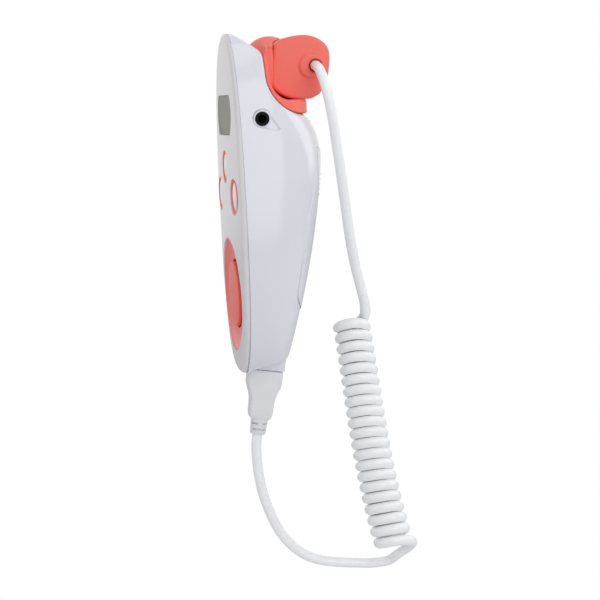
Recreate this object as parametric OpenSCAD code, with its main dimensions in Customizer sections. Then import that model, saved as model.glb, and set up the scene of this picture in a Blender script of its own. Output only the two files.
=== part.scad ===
// Handheld fetal doppler monitor with a docked probe, a curly lead and a plug in its foot.
// The front faces -Y, the right side of the case faces +X, and the case stands up along +Z.
// The origin is the middle of the split plane, where the hand closes round the case.

/* [Case] */
// Width of the case across the front
body_w = 68; // [62:1:76]
// Height of the case
body_h = 150; // [146:1:156]
// Depth of the back shell behind the split plane, at its fullest
back_depth = 38.6; // [37.6:0.2:41]
// Height of the fullest point of the back above the middle
back_peak_z = 21; // [16:1:24]
// Depth of the back shell at its foot
foot_depth = 19.5; // [18.5:0.5:23]
// Wall thickness of both shells
wall = 2; // [1.6:0.1:2.4]
// Height of the crown in the middle of the front
crown = 1.7; // [1:0.1:2.2]
// Height of the rolled edge of the front
edge_roll = 1.7; // [1.4:0.1:2.2]

/* [Notch and cradle] */
// Depth of the notch wall behind the split plane
notch_y = 13.3; // [12.8:0.1:13.6]
// Height of the middle of the probe cup above the middle of the case
cup_z = 56.5; // [55.5:0.5:57.5]
// Radius of the round floor of the notch
notch_r = 17; // [16.5:0.25:17.5]
// Depth of the back edge of the cradle lip
lip_y = 32.5; // [29:0.5:33]

/* [Display] */
// Width of the window at its middle
window_w = 38; // [34:1:42]
// Height of the window
window_h = 17; // [14:1:18]
// Height of the window's middle above the middle of the case
window_z = 39.8; // [38:0.5:41]

/* [Keys] */
// Diameter of the top key's bezel
top_bezel_d = 14.4; // [13:0.2:15.6]
// Diameter of the side keys' bezels
side_bezel_d = 15.6; // [14:0.2:16.4]
// Height of the top key above the middle of the case
top_key_z = 17.4; // [16.5:0.3:18.6]
// Distance of the side keys from the middle
side_key_x = 20; // [18:0.5:21]
// Height of the side keys above the middle of the case
side_key_z = 4.8; // [3.3:0.3:6]
// How far a key goes in
key_travel = 0.7; // [0.4:0.1:0.9]

/* [Speaker] */
// Diameter of the dish
dish_d = 49.8; // [46:0.6:51.6]
// Diameter of the raised disc in the dish
cap_d = 28.9; // [26:0.3:31]
// Height of the dish's middle, below the middle of the case
dish_drop = 38.8; // [38:0.4:40]
// Width of the sound gap round the disc
sound_gap = 0.9; // [0.6:0.1:1.2]

/* [Headphone jack] */
// Bore of the jack
jack_bore_d = 3.6; // [3.5:0.05:3.8]
// Diameter of the jack's nose
jack_nose_d = 6; // [5.6:0.1:6.4]
// Depth of the jack's bore
jack_depth = 14; // [12:0.5:15]
// Distance of the jack behind the split plane
jack_y = 9.8; // [9:0.2:10.4]
// Height of the jack above the middle of the case
jack_z = 37.6; // [36:0.4:38.8]

/* [Probe] */
// Width of the probe's grip, side to side
grip_w = 35; // [32:0.5:36]
// Diameter of the probe's round head
head_d = 25; // [23:0.5:26]
// Diameter of the hole that the lead leaves by
cord_hole_d = 5.4; // [5:0.1:6]
// How far the probe draws out of its cup
probe_travel = 30; // [20:1:36]

/* [Lead and plug] */
// Diameter of the lead
cord_d = 4.4; // [4:0.1:4.5]
// Outer diameter of the curly part
coil_d = 16.6; // [16:0.2:18]
// Number of curls
curls = 21; // [20:1:21]
// Width of the plug's moulding
plug_w = 15.8; // [15.2:0.2:16.4]
// Thickness of the plug's moulding
plug_t = 9; // [8.4:0.2:10]
// Lean of the plug from upright, in degrees
plug_lean = 10; // [9:0.5:11]
// How far the plug draws out of its socket
plug_travel = 14; // [12.5:0.5:16]

/* [Battery] */
// Diameter of a battery cell
cell_d = 14.2; // [14:0.1:14.5]
// Length of a battery cell
cell_l = 50.2; // [49.5:0.1:50.5]
// How far the battery door slides out, down and away from the back
door_travel = 7; // [5:0.5:8]

/* [Hidden] */

// Colours
shell_white = [0.88, 0.88, 0.92];
face_white = [0.82, 0.80, 0.80];
key_white = [0.93, 0.91, 0.91];
coral = [0.94, 0.42, 0.37];
coral_deep = [0.88, 0.30, 0.24];
lcd_olive = [0.56, 0.55, 0.50];
cord_white = [0.94, 0.95, 0.95];
board_green = [0.16, 0.38, 0.24];
metal = [0.75, 0.76, 0.78];
jet_black = [0.06, 0.06, 0.06];

// Clearances
slide_gap = 0.3;
seat_gap = 0.1;
fine = 64;

// ---------- Helpers ----------

// Points of an arc round c, from angle a0 to a1
function arc(c, r, a0, a1, steps) =
    [for (i = [0:steps]) let (a = a0 + (a1 - a0) * i / steps) c + r * [cos(a), sin(a)]];

// Sign-keeping power, for superellipses
function spow(v, e) = sign(v) * pow(abs(v), e);

// Middle of an outline, and which way its points run round
function total(list, i = 0) = i == len(list) - 1 ? list[i] : list[i] + total(list, i + 1);
function middle(ring) = total(ring) / len(ring);
function ring_turn(ring) =
    total([for (i = [1:len(ring) - 2]) cross(ring[i] - ring[0], ring[i + 1] - ring[0])]);

// A closed solid through a stack of outlines that have the same number of points
module loft(rings) {
    n = len(rings[0]);
    m = len(rings);
    flip = ring_turn(rings[0]) * (middle(rings[1]) - middle(rings[0])) > 0;
    points = [for (ring = rings) each ring];
    sides = [
        for (j = [0:m - 2], i = [0:n - 1])
            let (a = j * n + i, b = j * n + (i + 1) % n)
                each [[a, b, b + n], [a, b + n, a + n]]
    ];
    ends = [[for (i = [n - 1:-1:0]) i], [for (i = [0:n - 1]) (m - 1) * n + i]];
    faces = concat(sides, ends);
    polyhedron(points, flip ? [for (f = faces) [for (i = [len(f) - 1:-1:0]) f[i]]] : faces, convexity = 6);
}

// Unit vector
function unit(v) = v / norm(v);

// Direction of a path at point i
function along(path, i) =
    unit(path[min(i + 1, len(path) - 1)] - path[max(i - 1, 0)]);

// A round tube through a path; ref is a direction that the path never takes
module tube(path, d, sides, ref) {
    loft([
        for (i = [0:len(path) - 1])
            let (t = along(path, i), u = unit(cross(t, ref)), v = cross(t, u))
                [for (k = [0:sides - 1])
                    path[i] + d / 2 * (cos(360 * k / sides) * u + sin(360 * k / sides) * v)]
    ]);
}

// Turns a solid made along +Z to point along +Y, at the place given
module facing_back(place) {
    translate(place) rotate([-90, 0, 0]) children();
}

// Turns a solid made along +Z to point along +X, at the place given
module facing_right(place) {
    translate(place) rotate([0, 90, 0]) children();
}

// ---------- Case outline ----------

face_n = 2.4;
back_n = 2.5;
tip_z = body_h / 2 - 0.3;
stations = 26;
station_z = [for (i = [0:stations]) tip_z * sin(-90 + 180 * i / stations)];

// Half the width of the front outline at height z
function half_w(z) =
    body_w / 2 * pow(max(0, 1 - pow(abs(z) / (body_h / 2), face_n)), 1 / face_n);

// Depth of the back at height z
foot_fall = (back_depth - foot_depth) / pow(back_peak_z + 70, 1.43);
function depth(z) =
    z < back_peak_z
        ? back_depth - foot_fall * pow(back_peak_z - z, 1.43)
        : back_depth - 0.0105 * pow(min(z, 39) - back_peak_z, 2.2);

// Distance of the side wall from the middle at depth y and height z
function side_x(y, z) = half_w(z) * pow(max(0, 1 - pow(y / depth(z), back_n)), 1 / back_n);

// Distance of the back wall from the split plane at x and height z
function back_y(x, z) = depth(z) * pow(max(0, 1 - pow(abs(x) / half_w(z), back_n)), 1 / back_n);

// How far out a point of the front is, from 0 in the middle to 1 at the edge
function face_rho(x, z) =
    pow(pow(abs(x) / (body_w / 2), face_n) + pow(abs(z) / (body_h / 2), face_n), 1 / face_n);

// Height profile of the front: a crown with a rolled edge
roll_from = 0.95;
function face_y_at(rho) =
    -crown * (1 - rho * rho)
    - edge_roll * (rho <= roll_from ? 1 : sqrt(max(0, 1 - pow((rho - roll_from) / (1 - roll_from), 2))));
// The front is a little fuller at its foot than at its top
swell = 0.3;
function fuller(z) = 1 - swell * z / (body_h / 2);
function face_y(x, z) = face_y_at(face_rho(x, z)) * fuller(z);

// The case as a solid, smaller all round by inset, from depth from_y to the back.
// With a step, its front edge is rebated for the seam between the shells.
arc_steps = 22;
seam_w = 0.4;
seam_step = 0.9;
module case_solid(inset, from_y, step = 0) {
    loft([
        for (z = station_z)
            let (w = max(0.4, half_w(z) - inset), d = depth(z) - inset, zz = z * (tip_z - inset) / tip_z,
                 v = max(0.2, w - step))
                concat(
                    step > 0 ? [[v, from_y, zz], [v, seam_w, zz], [w, seam_w, zz]] : [[w, from_y, zz]],
                    [for (i = [1:arc_steps - 1])
                        let (a = 180 * i / arc_steps)
                            [w * spow(cos(a), 2 / back_n), d * spow(sin(a), 2 / back_n), zz]],
                    step > 0 ? [[-w, seam_w, zz], [-v, seam_w, zz], [-v, from_y, zz]] : [[-w, from_y, zz]]
                )
    ]);
}

// Side view of the case: the slanted top, the notch for the cradle and the raised foot
slant_fall = 0.85;
slant_top = body_h / 2 + 0.85;
shoulder_r = 5;
slant_normal = atan2(1, slant_fall);
shoulder_y = notch_y - shoulder_r;
shoulder_z = slant_top - slant_fall * shoulder_y - shoulder_r * sqrt(1 + slant_fall * slant_fall);
notch_c = [notch_y + notch_r, cup_z - 0.5];
foot_front = [2.6, -body_h / 2 + 2.4];
foot_back = [foot_depth, -body_h / 2 + 6.4];
case_profile = concat(
    [[-8, slant_top + 8 * slant_fall]],
    arc([shoulder_y, shoulder_z], shoulder_r, slant_normal, 0, 6),
    arc(notch_c, notch_r, 180, 270, 12),
    [[notch_c[0] + 16, notch_c[1] - notch_r - 8], [notch_c[0] + 16, -60]],
    [foot_back, foot_front, [1, -body_h / 2 - 0.2], [-8, -body_h / 2 - 0.2]]
);

// A side-view outline as a solid across the width of the case
module across(width) {
    rotate([90, 0, 90]) linear_extrude(width, center = true, convexity = 6) children();
}

// ---------- Front panel ----------

outline_xz = concat(
    [for (z = station_z) [half_w(z), z]],
    [for (i = [len(station_z) - 1:-1:0]) [-half_w(station_z[i]), station_z[i]]]
);
function face_ring(rho, y, inset) =
    [for (p = outline_xz)
        [p[0] * rho * (1 - inset / (body_w / 2)), y * fuller(p[1] * rho) + inset,
            p[1] * rho * (1 - inset / (body_h / 2))]];
function flat_ring(y, inset) =
    [for (p = outline_xz)
        [p[0] * (1 - inset / (body_w / 2)), y, p[1] * (1 - inset / (body_h / 2))]];

// The crowned front as a solid, smaller by inset, closed on the plane y = base_y
module face_solid(inset, base_y) {
    loft(concat(
        [flat_ring(base_y, inset)],
        [for (rho = [base_y > inset ? 1 : 0.998, 0.99, 0.97, 0.95, 0.84, 0.68, 0.46, 0.22])
            face_ring(rho, face_y_at(rho), inset)]
    ));
}

// Window outline: straight top and bottom, bowed sides
window_bow = 2.5;
module window_outline(grow) {
    w = window_w / 2 + grow;
    h = window_h / 2 + grow;
    bow_r = (pow(h, 2) + pow(window_bow, 2)) / (2 * window_bow);
    half_a = asin(h / bow_r);
    polygon(concat(
        arc([w - bow_r, 0], bow_r, -half_a, half_a, 8),
        arc([bow_r - w, 0], bow_r, 180 - half_a, 180 + half_a, 8)
    ));
}

// Places that carry a key: [x, z, bezel diameter]
top_key = [0, top_key_z, top_bezel_d];
left_key = [-side_key_x, side_key_z, side_bezel_d];
right_key = [side_key_x, side_key_z, side_bezel_d];
function key_face(k) = face_y(k[0], k[1]);

key_seat = 1.5;
bezel_flange = 1.2;
dish_lip_y = -2.5;
dish_seat_y = dish_lip_y + 1.6;
dish_flange = 2;

screw_d = 2.2;
screw_head_d = 4.4;
screw_head_l = 1.4;
post_d = 5.4;
post_end = 4;
display_rim = 1.5;
upper_screw = [20, window_z + window_h / 2 + display_rim + post_d / 2 + 0.7];
lower_screw = [20.5, -16];
lower_seat_y = 15;
// Screws: [x, z, depth of the seat under the head]
screw_places = [
    for (s = [-1, 1]) each [
        [s * upper_screw[0], upper_screw[1], notch_y - screw_head_l - 0.2],
        [s * lower_screw[0], lower_screw[1], lower_seat_y]
    ]
];

module front_panel() {
    color(face_white) difference() {
        union() {
            difference() {
                face_solid(0, 0);
                face_solid(wall, wall + 1);
            }
            intersection() {
                face_solid(0, post_end);
                for (s = screw_places)
                    facing_back([s[0], -4, s[1]]) cylinder(h = 4 + post_end, d = post_d, $fn = fine);
            }
        }
        for (s = screw_places)
            facing_back([s[0], -1, s[1]]) cylinder(h = 8, d = screw_d, $fn = fine);
        facing_back([0, -8, window_z]) mirror([0, 1, 0]) linear_extrude(8) window_outline(seat_gap);
        facing_back([0, window_seat_y, window_z])
            translate([-window_w / 2 - display_rim, -window_h / 2 - display_rim, 0])
                cube([window_w + 2 * display_rim, window_h + 2 * display_rim, 4]);
        for (k = [top_key, left_key, right_key]) {
            facing_back([k[0], -8, k[1]]) cylinder(h = 10, d = k[2] + seat_gap, $fn = fine);
            facing_back([k[0], key_face(k) + key_seat, k[1]])
                cylinder(h = 6, d = k[2] + 2 * bezel_flange + seat_gap, $fn = fine);
        }
        facing_back([0, -8, -dish_drop]) cylinder(h = 10, d = dish_d + seat_gap, $fn = fine);
        facing_back([0, dish_seat_y, -dish_drop])
            cylinder(h = 6, d = dish_d + 2 * dish_flange + seat_gap, $fn = fine);
    }
}

// ---------- Back shell ----------

// Battery door outline seen from the back, as half widths down its height
door_half = [[8, 24], [15.5, 24], [17.6, 22.6], [19.4, 14], [21.6, 4], [23.2, -6], [23.8, -17],
             [23.6, -28], [22.4, -37], [20, -41.5], [14, -45], [7, -46.6]];
door_foot = -47;
door_wall = 1.6;
door_proud = 0.3;
door_from_y = 14;
// The door's way out, in degrees from straight down towards the back
door_way = 45;
door_out = 80;
door_in = 2;

// A point of the outline, seen along the door's way out
function door_seen(p) = [p[0], cos(door_way) * back_y(p[0], p[1]) + sin(door_way) * p[1]];

// The door's outline as a solid that runs along its way out, so that no edge can catch
module door_block(grow) {
    intersection() {
        rotate([door_way, 0, 0]) translate([0, 0, -door_out]) linear_extrude(door_out + door_in, convexity = 4)
            offset(delta = grow) polygon(concat(
                [for (p = door_half) door_seen(p)], [door_seen([0, door_foot])],
                [for (i = [len(door_half) - 1:-1:0]) door_seen([-door_half[i][0], door_half[i][1]])]
            ));
        translate([-body_w, door_from_y, -body_h]) cube([2 * body_w, 100, 2 * body_h]);
    }
}

jack_face_x = side_x(jack_y, jack_z);
jack_ring_d = jack_nose_d + 1.6;
ring_gap = 0.05;
// Shallow scoop round the jack, with a tail that runs back and down
scoop_deep = 0.6;
scoop_d = 8.1;
scoop_tail = [4.6, 6.8];
scoop_tail_d = 1.6;

rib_reach = body_w / 2 - 1.5;
tray_ear_y = 12;
// Room in the shell for the cradle's cup
cup_wall_y = 11.2;
cup_room = 14;
module cup_bore(shrink) {
    facing_back([0, cup_wall_y + shrink, cup_z]) cylinder(h = cup_room, r = hood_r - shrink, $fn = fine);
}
module back_shell() {
    color(shell_white) difference() {
        union() {
            difference() {
                intersection() {
                    case_solid(0, 0, seam_step);
                    across(body_w + 4) polygon(case_profile);
                }
                intersection() {
                    case_solid(wall, -2);
                    across(body_w + 4) offset(delta = -wall) polygon(case_profile);
                }
            }
            // screw posts, the lower two on ribs from the side walls
            for (s = screw_places) {
                facing_back([s[0], post_end, s[1]])
                    cylinder(h = (s[1] > 0 ? s[2] + 1 : tray_ear_y) - post_end, d = post_d, $fn = fine);
                if (s[1] < 0)
                    translate([s[0] > 0 ? s[0] : -rib_reach, post_end, s[1] - 0.8])
                        cube([rib_reach - abs(s[0]), tray_ear_y - post_end, 1.6]);
            }
        }
        for (s = screw_places) {
            facing_back([s[0], 0, s[1]]) cylinder(h = s[2] + 1, d = screw_d + 0.4, $fn = fine);
            facing_back([s[0], s[2], s[1]]) cylinder(h = 4, d = screw_head_d + 0.4, $fn = fine);
        }
        cup_bore(0);
        door_block(slide_gap);
        facing_right([jack_face_x - 6, jack_y, jack_z]) cylinder(h = 10, d = jack_ring_d + ring_gap, $fn = fine);
        facing_right([jack_face_x - scoop_deep, jack_y, jack_z]) hull() {
            cylinder(h = 4, d = scoop_d, $fn = 32);
            translate(scoop_tail) cylinder(h = 4, d = scoop_tail_d, $fn = 32);
        }
        at_plug() translate([0, 0, -3]) collar_block(0, 18);
    }
}

module case_screws() {
    color(metal) for (s = screw_places)
        facing_back([s[0], 0, s[1]]) difference() {
            union() {
                cylinder(h = s[2] + 0.2, d = screw_d, $fn = fine);
                translate([0, 0, s[2]]) cylinder(h = screw_head_l, d1 = screw_head_d, d2 = screw_head_d - 0.8, $fn = fine);
            }
            translate([0, 0, s[2] + 0.7])
                for (a = [0, 90]) rotate([0, 0, a]) translate([-1.3, -0.25, 0]) cube([2.6, 0.5, 1]);
        }
}

// ---------- Battery bay ----------

bay_lean = 10;
cell_step = cell_d + 1;
cell_mid_z = -4;
// Depth of the cells' axes at the middle of their length
cell_mid_y = depth(cell_mid_z) - door_wall - 1.6 - cell_d / 2 - 1.6;
tray_wall = 1.4;
contact_room = 4.2;
tray_l = cell_l + 2 * contact_room;
tray_w = 2 * cell_step + 2 * tray_wall;
tray_deep = cell_d * 0.62;

// Leans what is inside along the slope of the back, with local +Y to the back
module at_bay() {
    translate([0, cell_mid_y, cell_mid_z]) rotate([-bay_lean, 0, 0]) children();
}

module battery_door() {
    color(shell_white) union() {
        intersection() {
            difference() {
                case_solid(-door_proud, 0);
                case_solid(door_wall - door_proud, 0);
            }
            door_block(0);
        }
        // finger ribs near the top of the door
        for (i = [0:4]) door_rib(12 - 2.2 * i);
    }
}

// One raised finger rib across the door at height z
rib_w = 14;
module door_rib(z) {
    y = back_y(rib_w / 2, z) + door_proud;
    hull() for (s = [-1, 1])
        facing_right([s > 0 ? rib_w / 2 : -rib_w / 2, y - 0.1, z]) rotate([0, s > 0 ? 0 : 180, 0])
            cylinder(h = 0.3, d = 1.2, $fn = 24);
}

module battery_tray() {
    color(shell_white) difference() {
        union() {
            at_bay() translate([-tray_w / 2, -cell_d / 2 - tray_wall, -tray_l / 2 - tray_wall])
                cube([tray_w, tray_deep + tray_wall, tray_l + 2 * tray_wall]);
            // ears that the lower screws clamp
            for (s = screw_places) if (s[1] < 0)
                translate([s[0] > 0 ? 12 : s[0] - 3.4, tray_ear_y, s[1] - 3.4])
                    cube([abs(s[0]) + 3.4 - 12, s[2] - tray_ear_y, 6.8]);
        }
        for (s = screw_places) if (s[1] < 0)
            facing_back([s[0], 0, s[1]]) cylinder(h = 30, d = screw_d + 0.4, $fn = fine);
        at_bay() for (s = [-1, 1])
            translate([s * cell_step / 2, 0, -tray_l / 2]) {
                cylinder(h = tray_l, d = cell_d + 0.4, $fn = fine);
                translate([-(cell_d + 0.4) / 2, 0, 0]) cube([cell_d + 0.4, cell_d, tray_l]);
            }
    }
}

module battery_cells() {
    color(coral_deep) at_bay() for (s = [-1, 1])
        translate([s * cell_step / 2, 0, 0]) rotate([s > 0 ? 0 : 180, 0, 0])
            translate([0, 0, -cell_l / 2]) {
                cylinder(h = cell_l - 1.2, d = cell_d, $fn = fine);
                cylinder(h = cell_l, d = 5.5, $fn = fine);
            }
}

// A conical spring that presses on a cell's flat end
spring_wire = 0.8;
module contact_spring() {
    turns = 3;
    per_turn = 10;
    length = contact_room - 0.6;
    steps = turns * per_turn;
    path = [
        for (i = [0:steps])
            let (a = 360 * i / per_turn, r = 4.6 - 2 * i / steps)
                [r * cos(a), r * sin(a), spring_wire / 2 + (length - spring_wire) * i / steps]
    ];
    tube(path, spring_wire, 6, [0, 0, 1]);
}

module battery_springs() {
    color(metal) at_bay() for (s = [-1, 1])
        translate([s * cell_step / 2, 0, 0]) rotate([s > 0 ? 0 : 180, 0, 0])
            translate([0, 0, -cell_l / 2 - contact_room + 0.5]) contact_spring();
}

module battery_contacts() {
    plate = 0.5;
    color(metal) at_bay() {
        for (s = [-1, 1]) translate([s * cell_step / 2 - 5, -5, s * (tray_l / 2) - (s > 0 ? plate : 0)])
            cube([10, 10, plate]);
        for (s = [-1, 1]) translate([s * cell_step / 2 - 5, -5, -s * (tray_l / 2) - (s > 0 ? 0 : plate)])
            cube([10, 10, plate]);
    }
}

// ---------- Cradle ----------

pocket_d = head_d + 0.8;
pocket_floor_y = notch_y - 0.1;
cup_back_y = 17.3;
hood_r = pocket_d / 2 + 3.7;
hood_mid_y = 18.9;
hood_front = 12.6;
hood_rear = 14;
hood_back_y = 26;
grip_gap = 0.6;

// Side view of the pad that lines the notch, up past the slanted top
ledge_z = 44.4;
pad_top_z = 70;
pad_corner_r = 4.9;
pad_profile = concat(
    [[4, 64], [notch_y + 0.3, 64], [14.6, pad_top_z], [cup_back_y, pad_top_z]],
    arc([cup_back_y + pad_corner_r, ledge_z + pad_corner_r], pad_corner_r, 180, 270, 6),
    [[lip_y + 0.6, ledge_z], [lip_y, 36]],
    [[20, 30], [4, 40]]
);

module probe_cradle() {
    color(coral) difference() {
        union() {
            difference() {
                union() {
                    intersection() {
                        case_solid(0.3, -1);
                        across(body_w + 4) polygon(pad_profile);
                    }
                    // domed hood over the cup
                    intersection() {
                        facing_back([0, 0, cup_z]) rotate_extrude($fn = fine) polygon(concat(
                            [[0, hood_mid_y - hood_front]],
                            [for (i = [1:9]) let (a = 10 * i)
                                [hood_r * sin(a), hood_mid_y - hood_front * cos(a)]],
                            [for (i = [1:3]) let (a = 9 * i)
                                [hood_r * cos(a), hood_mid_y + hood_rear * sin(a)]],
                            [[0, hood_mid_y + hood_rear * sin(27)]]
                        ));
                        // the hood's back edge follows the slant of the grip's top
                        across(60) polygon([[4, 40], [cup_back_y, 40], [cup_back_y, grip_front_top - 0.1],
                                            [hood_back_y, grip_front_top + 2.6], [hood_back_y, 80], [4, 80]]);
                    }
                }
                across(body_w + 8) polygon(case_profile);
            }
            intersection() {
                cup_bore(ring_gap);
                translate([0, ring_gap, -ring_gap]) across(2 * hood_r + 2) polygon(case_profile);
            }
        }
        facing_back([0, pocket_floor_y, cup_z])
            cylinder(h = lip_y + 3 - pocket_floor_y, d = pocket_d, $fn = fine);
    }
}

// ---------- Display ----------

window_recess = 0.7;
window_front_y = face_y(0, window_z) + window_recess;
window_seat_y = window_front_y + 1.1;
board_y = 4.6;
board_t = 1.6;

module lcd_window() {
    color(lcd_olive) union() {
        facing_back([0, window_front_y, window_z])
            mirror([0, 1, 0]) linear_extrude(1.4) window_outline(0);
        translate([-window_w / 2 - 1.2, window_seat_y, window_z - window_h / 2 - 1.2])
            cube([window_w + 2.4, 0.8, window_h + 2.4]);
    }
}

module lcd_module() {
    glass_y = window_seat_y + 1.1;
    color(lcd_olive) union() {
        translate([-window_w / 2, glass_y, window_z - window_h / 2 - 0.5]) cube([window_w, 1.6, window_h + 1]);
        translate([-window_w / 2 - 1, glass_y + 1.6, window_z - window_h / 2 - display_rim])
            cube([window_w + 2, board_y - glass_y - 1.6, window_h + 2 * display_rim]);
    }
}

module main_board() {
    top = window_z + window_h / 2 + 3;
    foot = -5;
    half_top = half_w(top) - wall - 6;
    half_mid = body_w / 2 - wall - 3.4;
    color(board_green) difference() {
        facing_back([0, board_y, 0]) mirror([0, 1, 0]) linear_extrude(board_t) offset(r = 2, $fn = 24)
            offset(delta = -2) polygon([
                [-half_mid, foot], [half_mid, foot], [half_mid, 24], [half_top, top], [-half_top, top], [-half_mid, 24]
            ]);
        for (s = screw_places)
            facing_back([s[0], 0, s[1]]) cylinder(h = 12, d = post_d + 0.6, $fn = fine);
    }
}

// ---------- Keys ----------

bezel_lip = 0.5;
cap_gap = 0.3;
module key_bezel(k) {
    r = k[2] / 2;
    y = key_face(k);
    color(coral) facing_back([k[0], 0, k[1]]) rotate_extrude($fn = fine) polygon([
        [r - bezel_lip, y + 0.1], [r, y + 0.15], [r, y + key_seat], [r + bezel_flange, y + key_seat],
        [r + bezel_flange, y + key_seat + 0.8], [r - 1.3, y + key_seat + 0.8], [r - 1.3, y + 1]
    ]);
}

stem_d = 4;
switch_top_y = board_y - 2.4;
module key_cap(k) {
    r = k[2] / 2 - 1.3 - cap_gap;
    y = key_face(k);
    rest_gap = 0.1;
    color(key_white) facing_back([k[0], 0, k[1]]) {
        rotate_extrude($fn = fine) polygon(concat(
            [for (i = [0:6]) let (a = 15 * i) [r * sin(a), y + 0.75 - 0.75 * cos(a)]],
            [[r, y + 2.4], [stem_d / 2, y + 2.4], [stem_d / 2, switch_top_y - key_travel - rest_gap],
             [0, switch_top_y - key_travel - rest_gap]]
        ));
    }
}

module key_switches() {
    color(jet_black) for (k = [top_key, left_key, right_key]) {
        translate([k[0] - 3.1, board_y - 1.6, k[1] - 3.1]) cube([6.2, 1.6, 6.2]);
        facing_back([k[0], switch_top_y, k[1]]) cylinder(h = 1.4, d = 3.4, $fn = fine);
    }
}

// ---------- Speaker ----------

dish_r = dish_d / 2;
cap_r = cap_d / 2;
dish_in_r = cap_r + sound_gap;
hub_r = cap_r - 1.5;
cap_face_y = dish_lip_y;
module speaker_dish() {
    color(coral) facing_back([0, 0, -dish_drop]) {
        rotate_extrude($fn = 96) polygon([
            [dish_r, dish_lip_y + 0.05], [dish_r, dish_seat_y], [dish_r + dish_flange, dish_seat_y],
            [dish_r + dish_flange, 0.3], [dish_in_r, 0.9], [dish_in_r, dish_lip_y + 1.6],
            [dish_in_r + 3, dish_lip_y + 1.4], [dish_r - 3, dish_lip_y + 0.75], [dish_r - 0.6, dish_lip_y]
        ]);
        // spokes and hub that carry the disc, under the sound gap
        for (i = [0:5]) rotate([0, 0, 60 * i]) translate([hub_r - 1, -1, 0.2])
            cube([dish_in_r - hub_r + 2, 2, 1.6]);
        difference() {
            translate([0, 0, 0.2]) cylinder(h = 1.6, r = hub_r, $fn = 96);
            translate([0, 0, -1]) cylinder(h = 4, r = hub_r - 2.4, $fn = 96);
        }
        // skirt that the loudspeaker clips into
        difference() {
            translate([0, 0, 0.4]) cylinder(h = 3, r = speaker_r + 1.5, $fn = 96);
            translate([0, 0, -1]) cylinder(h = 6, r = speaker_r, $fn = 96);
        }
    }
}

module speaker_cap() {
    dome_r = cap_r - 1;
    color(coral) facing_back([0, 0, -dish_drop]) rotate_extrude($fn = 96) polygon([
        [0, cap_face_y - 0.5], [dome_r / 2, cap_face_y - 0.35], [dome_r, cap_face_y],
        [cap_r - 0.2, cap_face_y + 0.15], [cap_r, cap_face_y + 0.5], [cap_r, -0.6],
        [hub_r, -0.6], [hub_r, 0.2], [hub_r - 1.6, 0.2], [hub_r - 1.6, -0.9], [0, -0.9]
    ]);
}

speaker_r = 18;
speaker_y = 3.4;
speaker_l = 5.2;
magnet_r = 11;
magnet_l = 2;
module loudspeaker() {
    color(jet_black) facing_back([0, speaker_y, -dish_drop]) rotate_extrude($fn = 72) polygon([
        [0, 1.6], [4, 1.2], [8, 2.4], [15, 0.4], [16.4, 0], [speaker_r + 1.5, 0], [speaker_r + 1.5, 0.8],
        [speaker_r - 1.2, 0.8], [magnet_r, speaker_l - magnet_l], [magnet_r, speaker_l], [0, speaker_l]
    ]);
}

// ---------- Headphone jack ----------

jack_body_l = 12;
jack_body_w = 7;
jack_body_h = 9;
// Distance of the shell's inner wall from the middle at depth y and height z
function inner_x(y, z) =
    let (t = z * tip_z / (tip_z - wall))
        (half_w(t) - wall) * pow(1 - pow(y / (depth(t) - wall), back_n), 1 / back_n);
// The jack's body starts inside the wall, all round its outline
jack_back = 0.7 + jack_face_x - min([
    for (s = [-1, 1], q = [-1, 1]) inner_x(jack_y + s * jack_body_w / 2, jack_z + q * jack_body_h / 2)
]);
module headphone_jack() {
    color(jet_black) facing_right([jack_face_x, jack_y, jack_z]) difference() {
        union() {
            translate([0, 0, -jack_back - 1]) cylinder(h = jack_back + 1.1, d = jack_nose_d, $fn = fine);
            translate([-jack_body_h / 2, -jack_body_w / 2, -jack_back - jack_body_l])
                cube([jack_body_h, jack_body_w, jack_body_l]);
        }
        translate([0, 0, -jack_depth]) cylinder(h = jack_depth + 1, d = jack_bore_d, $fn = fine);
    }
}

module jack_ring() {
    color(shell_white) facing_right([jack_face_x, jack_y, jack_z]) difference() {
        translate([0, 0, -3]) cylinder(h = 2.8, d = jack_ring_d, $fn = fine);
        translate([0, 0, -4]) cylinder(h = 6, d = jack_nose_d, $fn = fine);
    }
}

// ---------- Foot: socket and plug ----------

plug_y = 9.9;
plug_z = -body_h / 2 + 1.4;
// Local origin on the socket's face, with local +Z up into the case
module at_plug() {
    translate([0, plug_y, plug_z]) rotate([-plug_lean, 0, 0]) children();
}
// A local point on the plug's axis, in the case's frame
function plug_point(h) = [0, plug_y + h * sin(plug_lean), plug_z + h * cos(plug_lean)];

collar_w = plug_w + 0.6;
collar_t = plug_t + 2.2;
module collar_block(grow, h) {
    r = 2.4;
    linear_extrude(h) offset(r = r, $fn = 32) square([collar_t - 2 * r + grow, collar_w - 2 * r + grow], center = true);
}
usb_w = 12;
usb_t = 4.5;
usb_wall = 0.4;
usb_deep = 14;
usb_fit = 0.15;
collar_face = 0.3;
module socket_collar() {
    color(shell_white) intersection() {
        at_plug() difference() {
            translate([0, 0, collar_face]) collar_block(0, 10);
            socket_outer(0.02);
        }
        across(body_w) polygon([[1.2, -80], [30, -80], [30, -50], [1.2, -50]]);
    }
}

// Outside of the socket's metal can
module socket_outer(grow) {
    w = usb_w + 2 * usb_fit + 2 * usb_wall + 2 * grow;
    t = usb_t + 2 * usb_fit + 2 * usb_wall + 2 * grow;
    translate([-t / 2, -w / 2, collar_face - 1]) cube([t, w, usb_deep + 2]);
}

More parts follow.
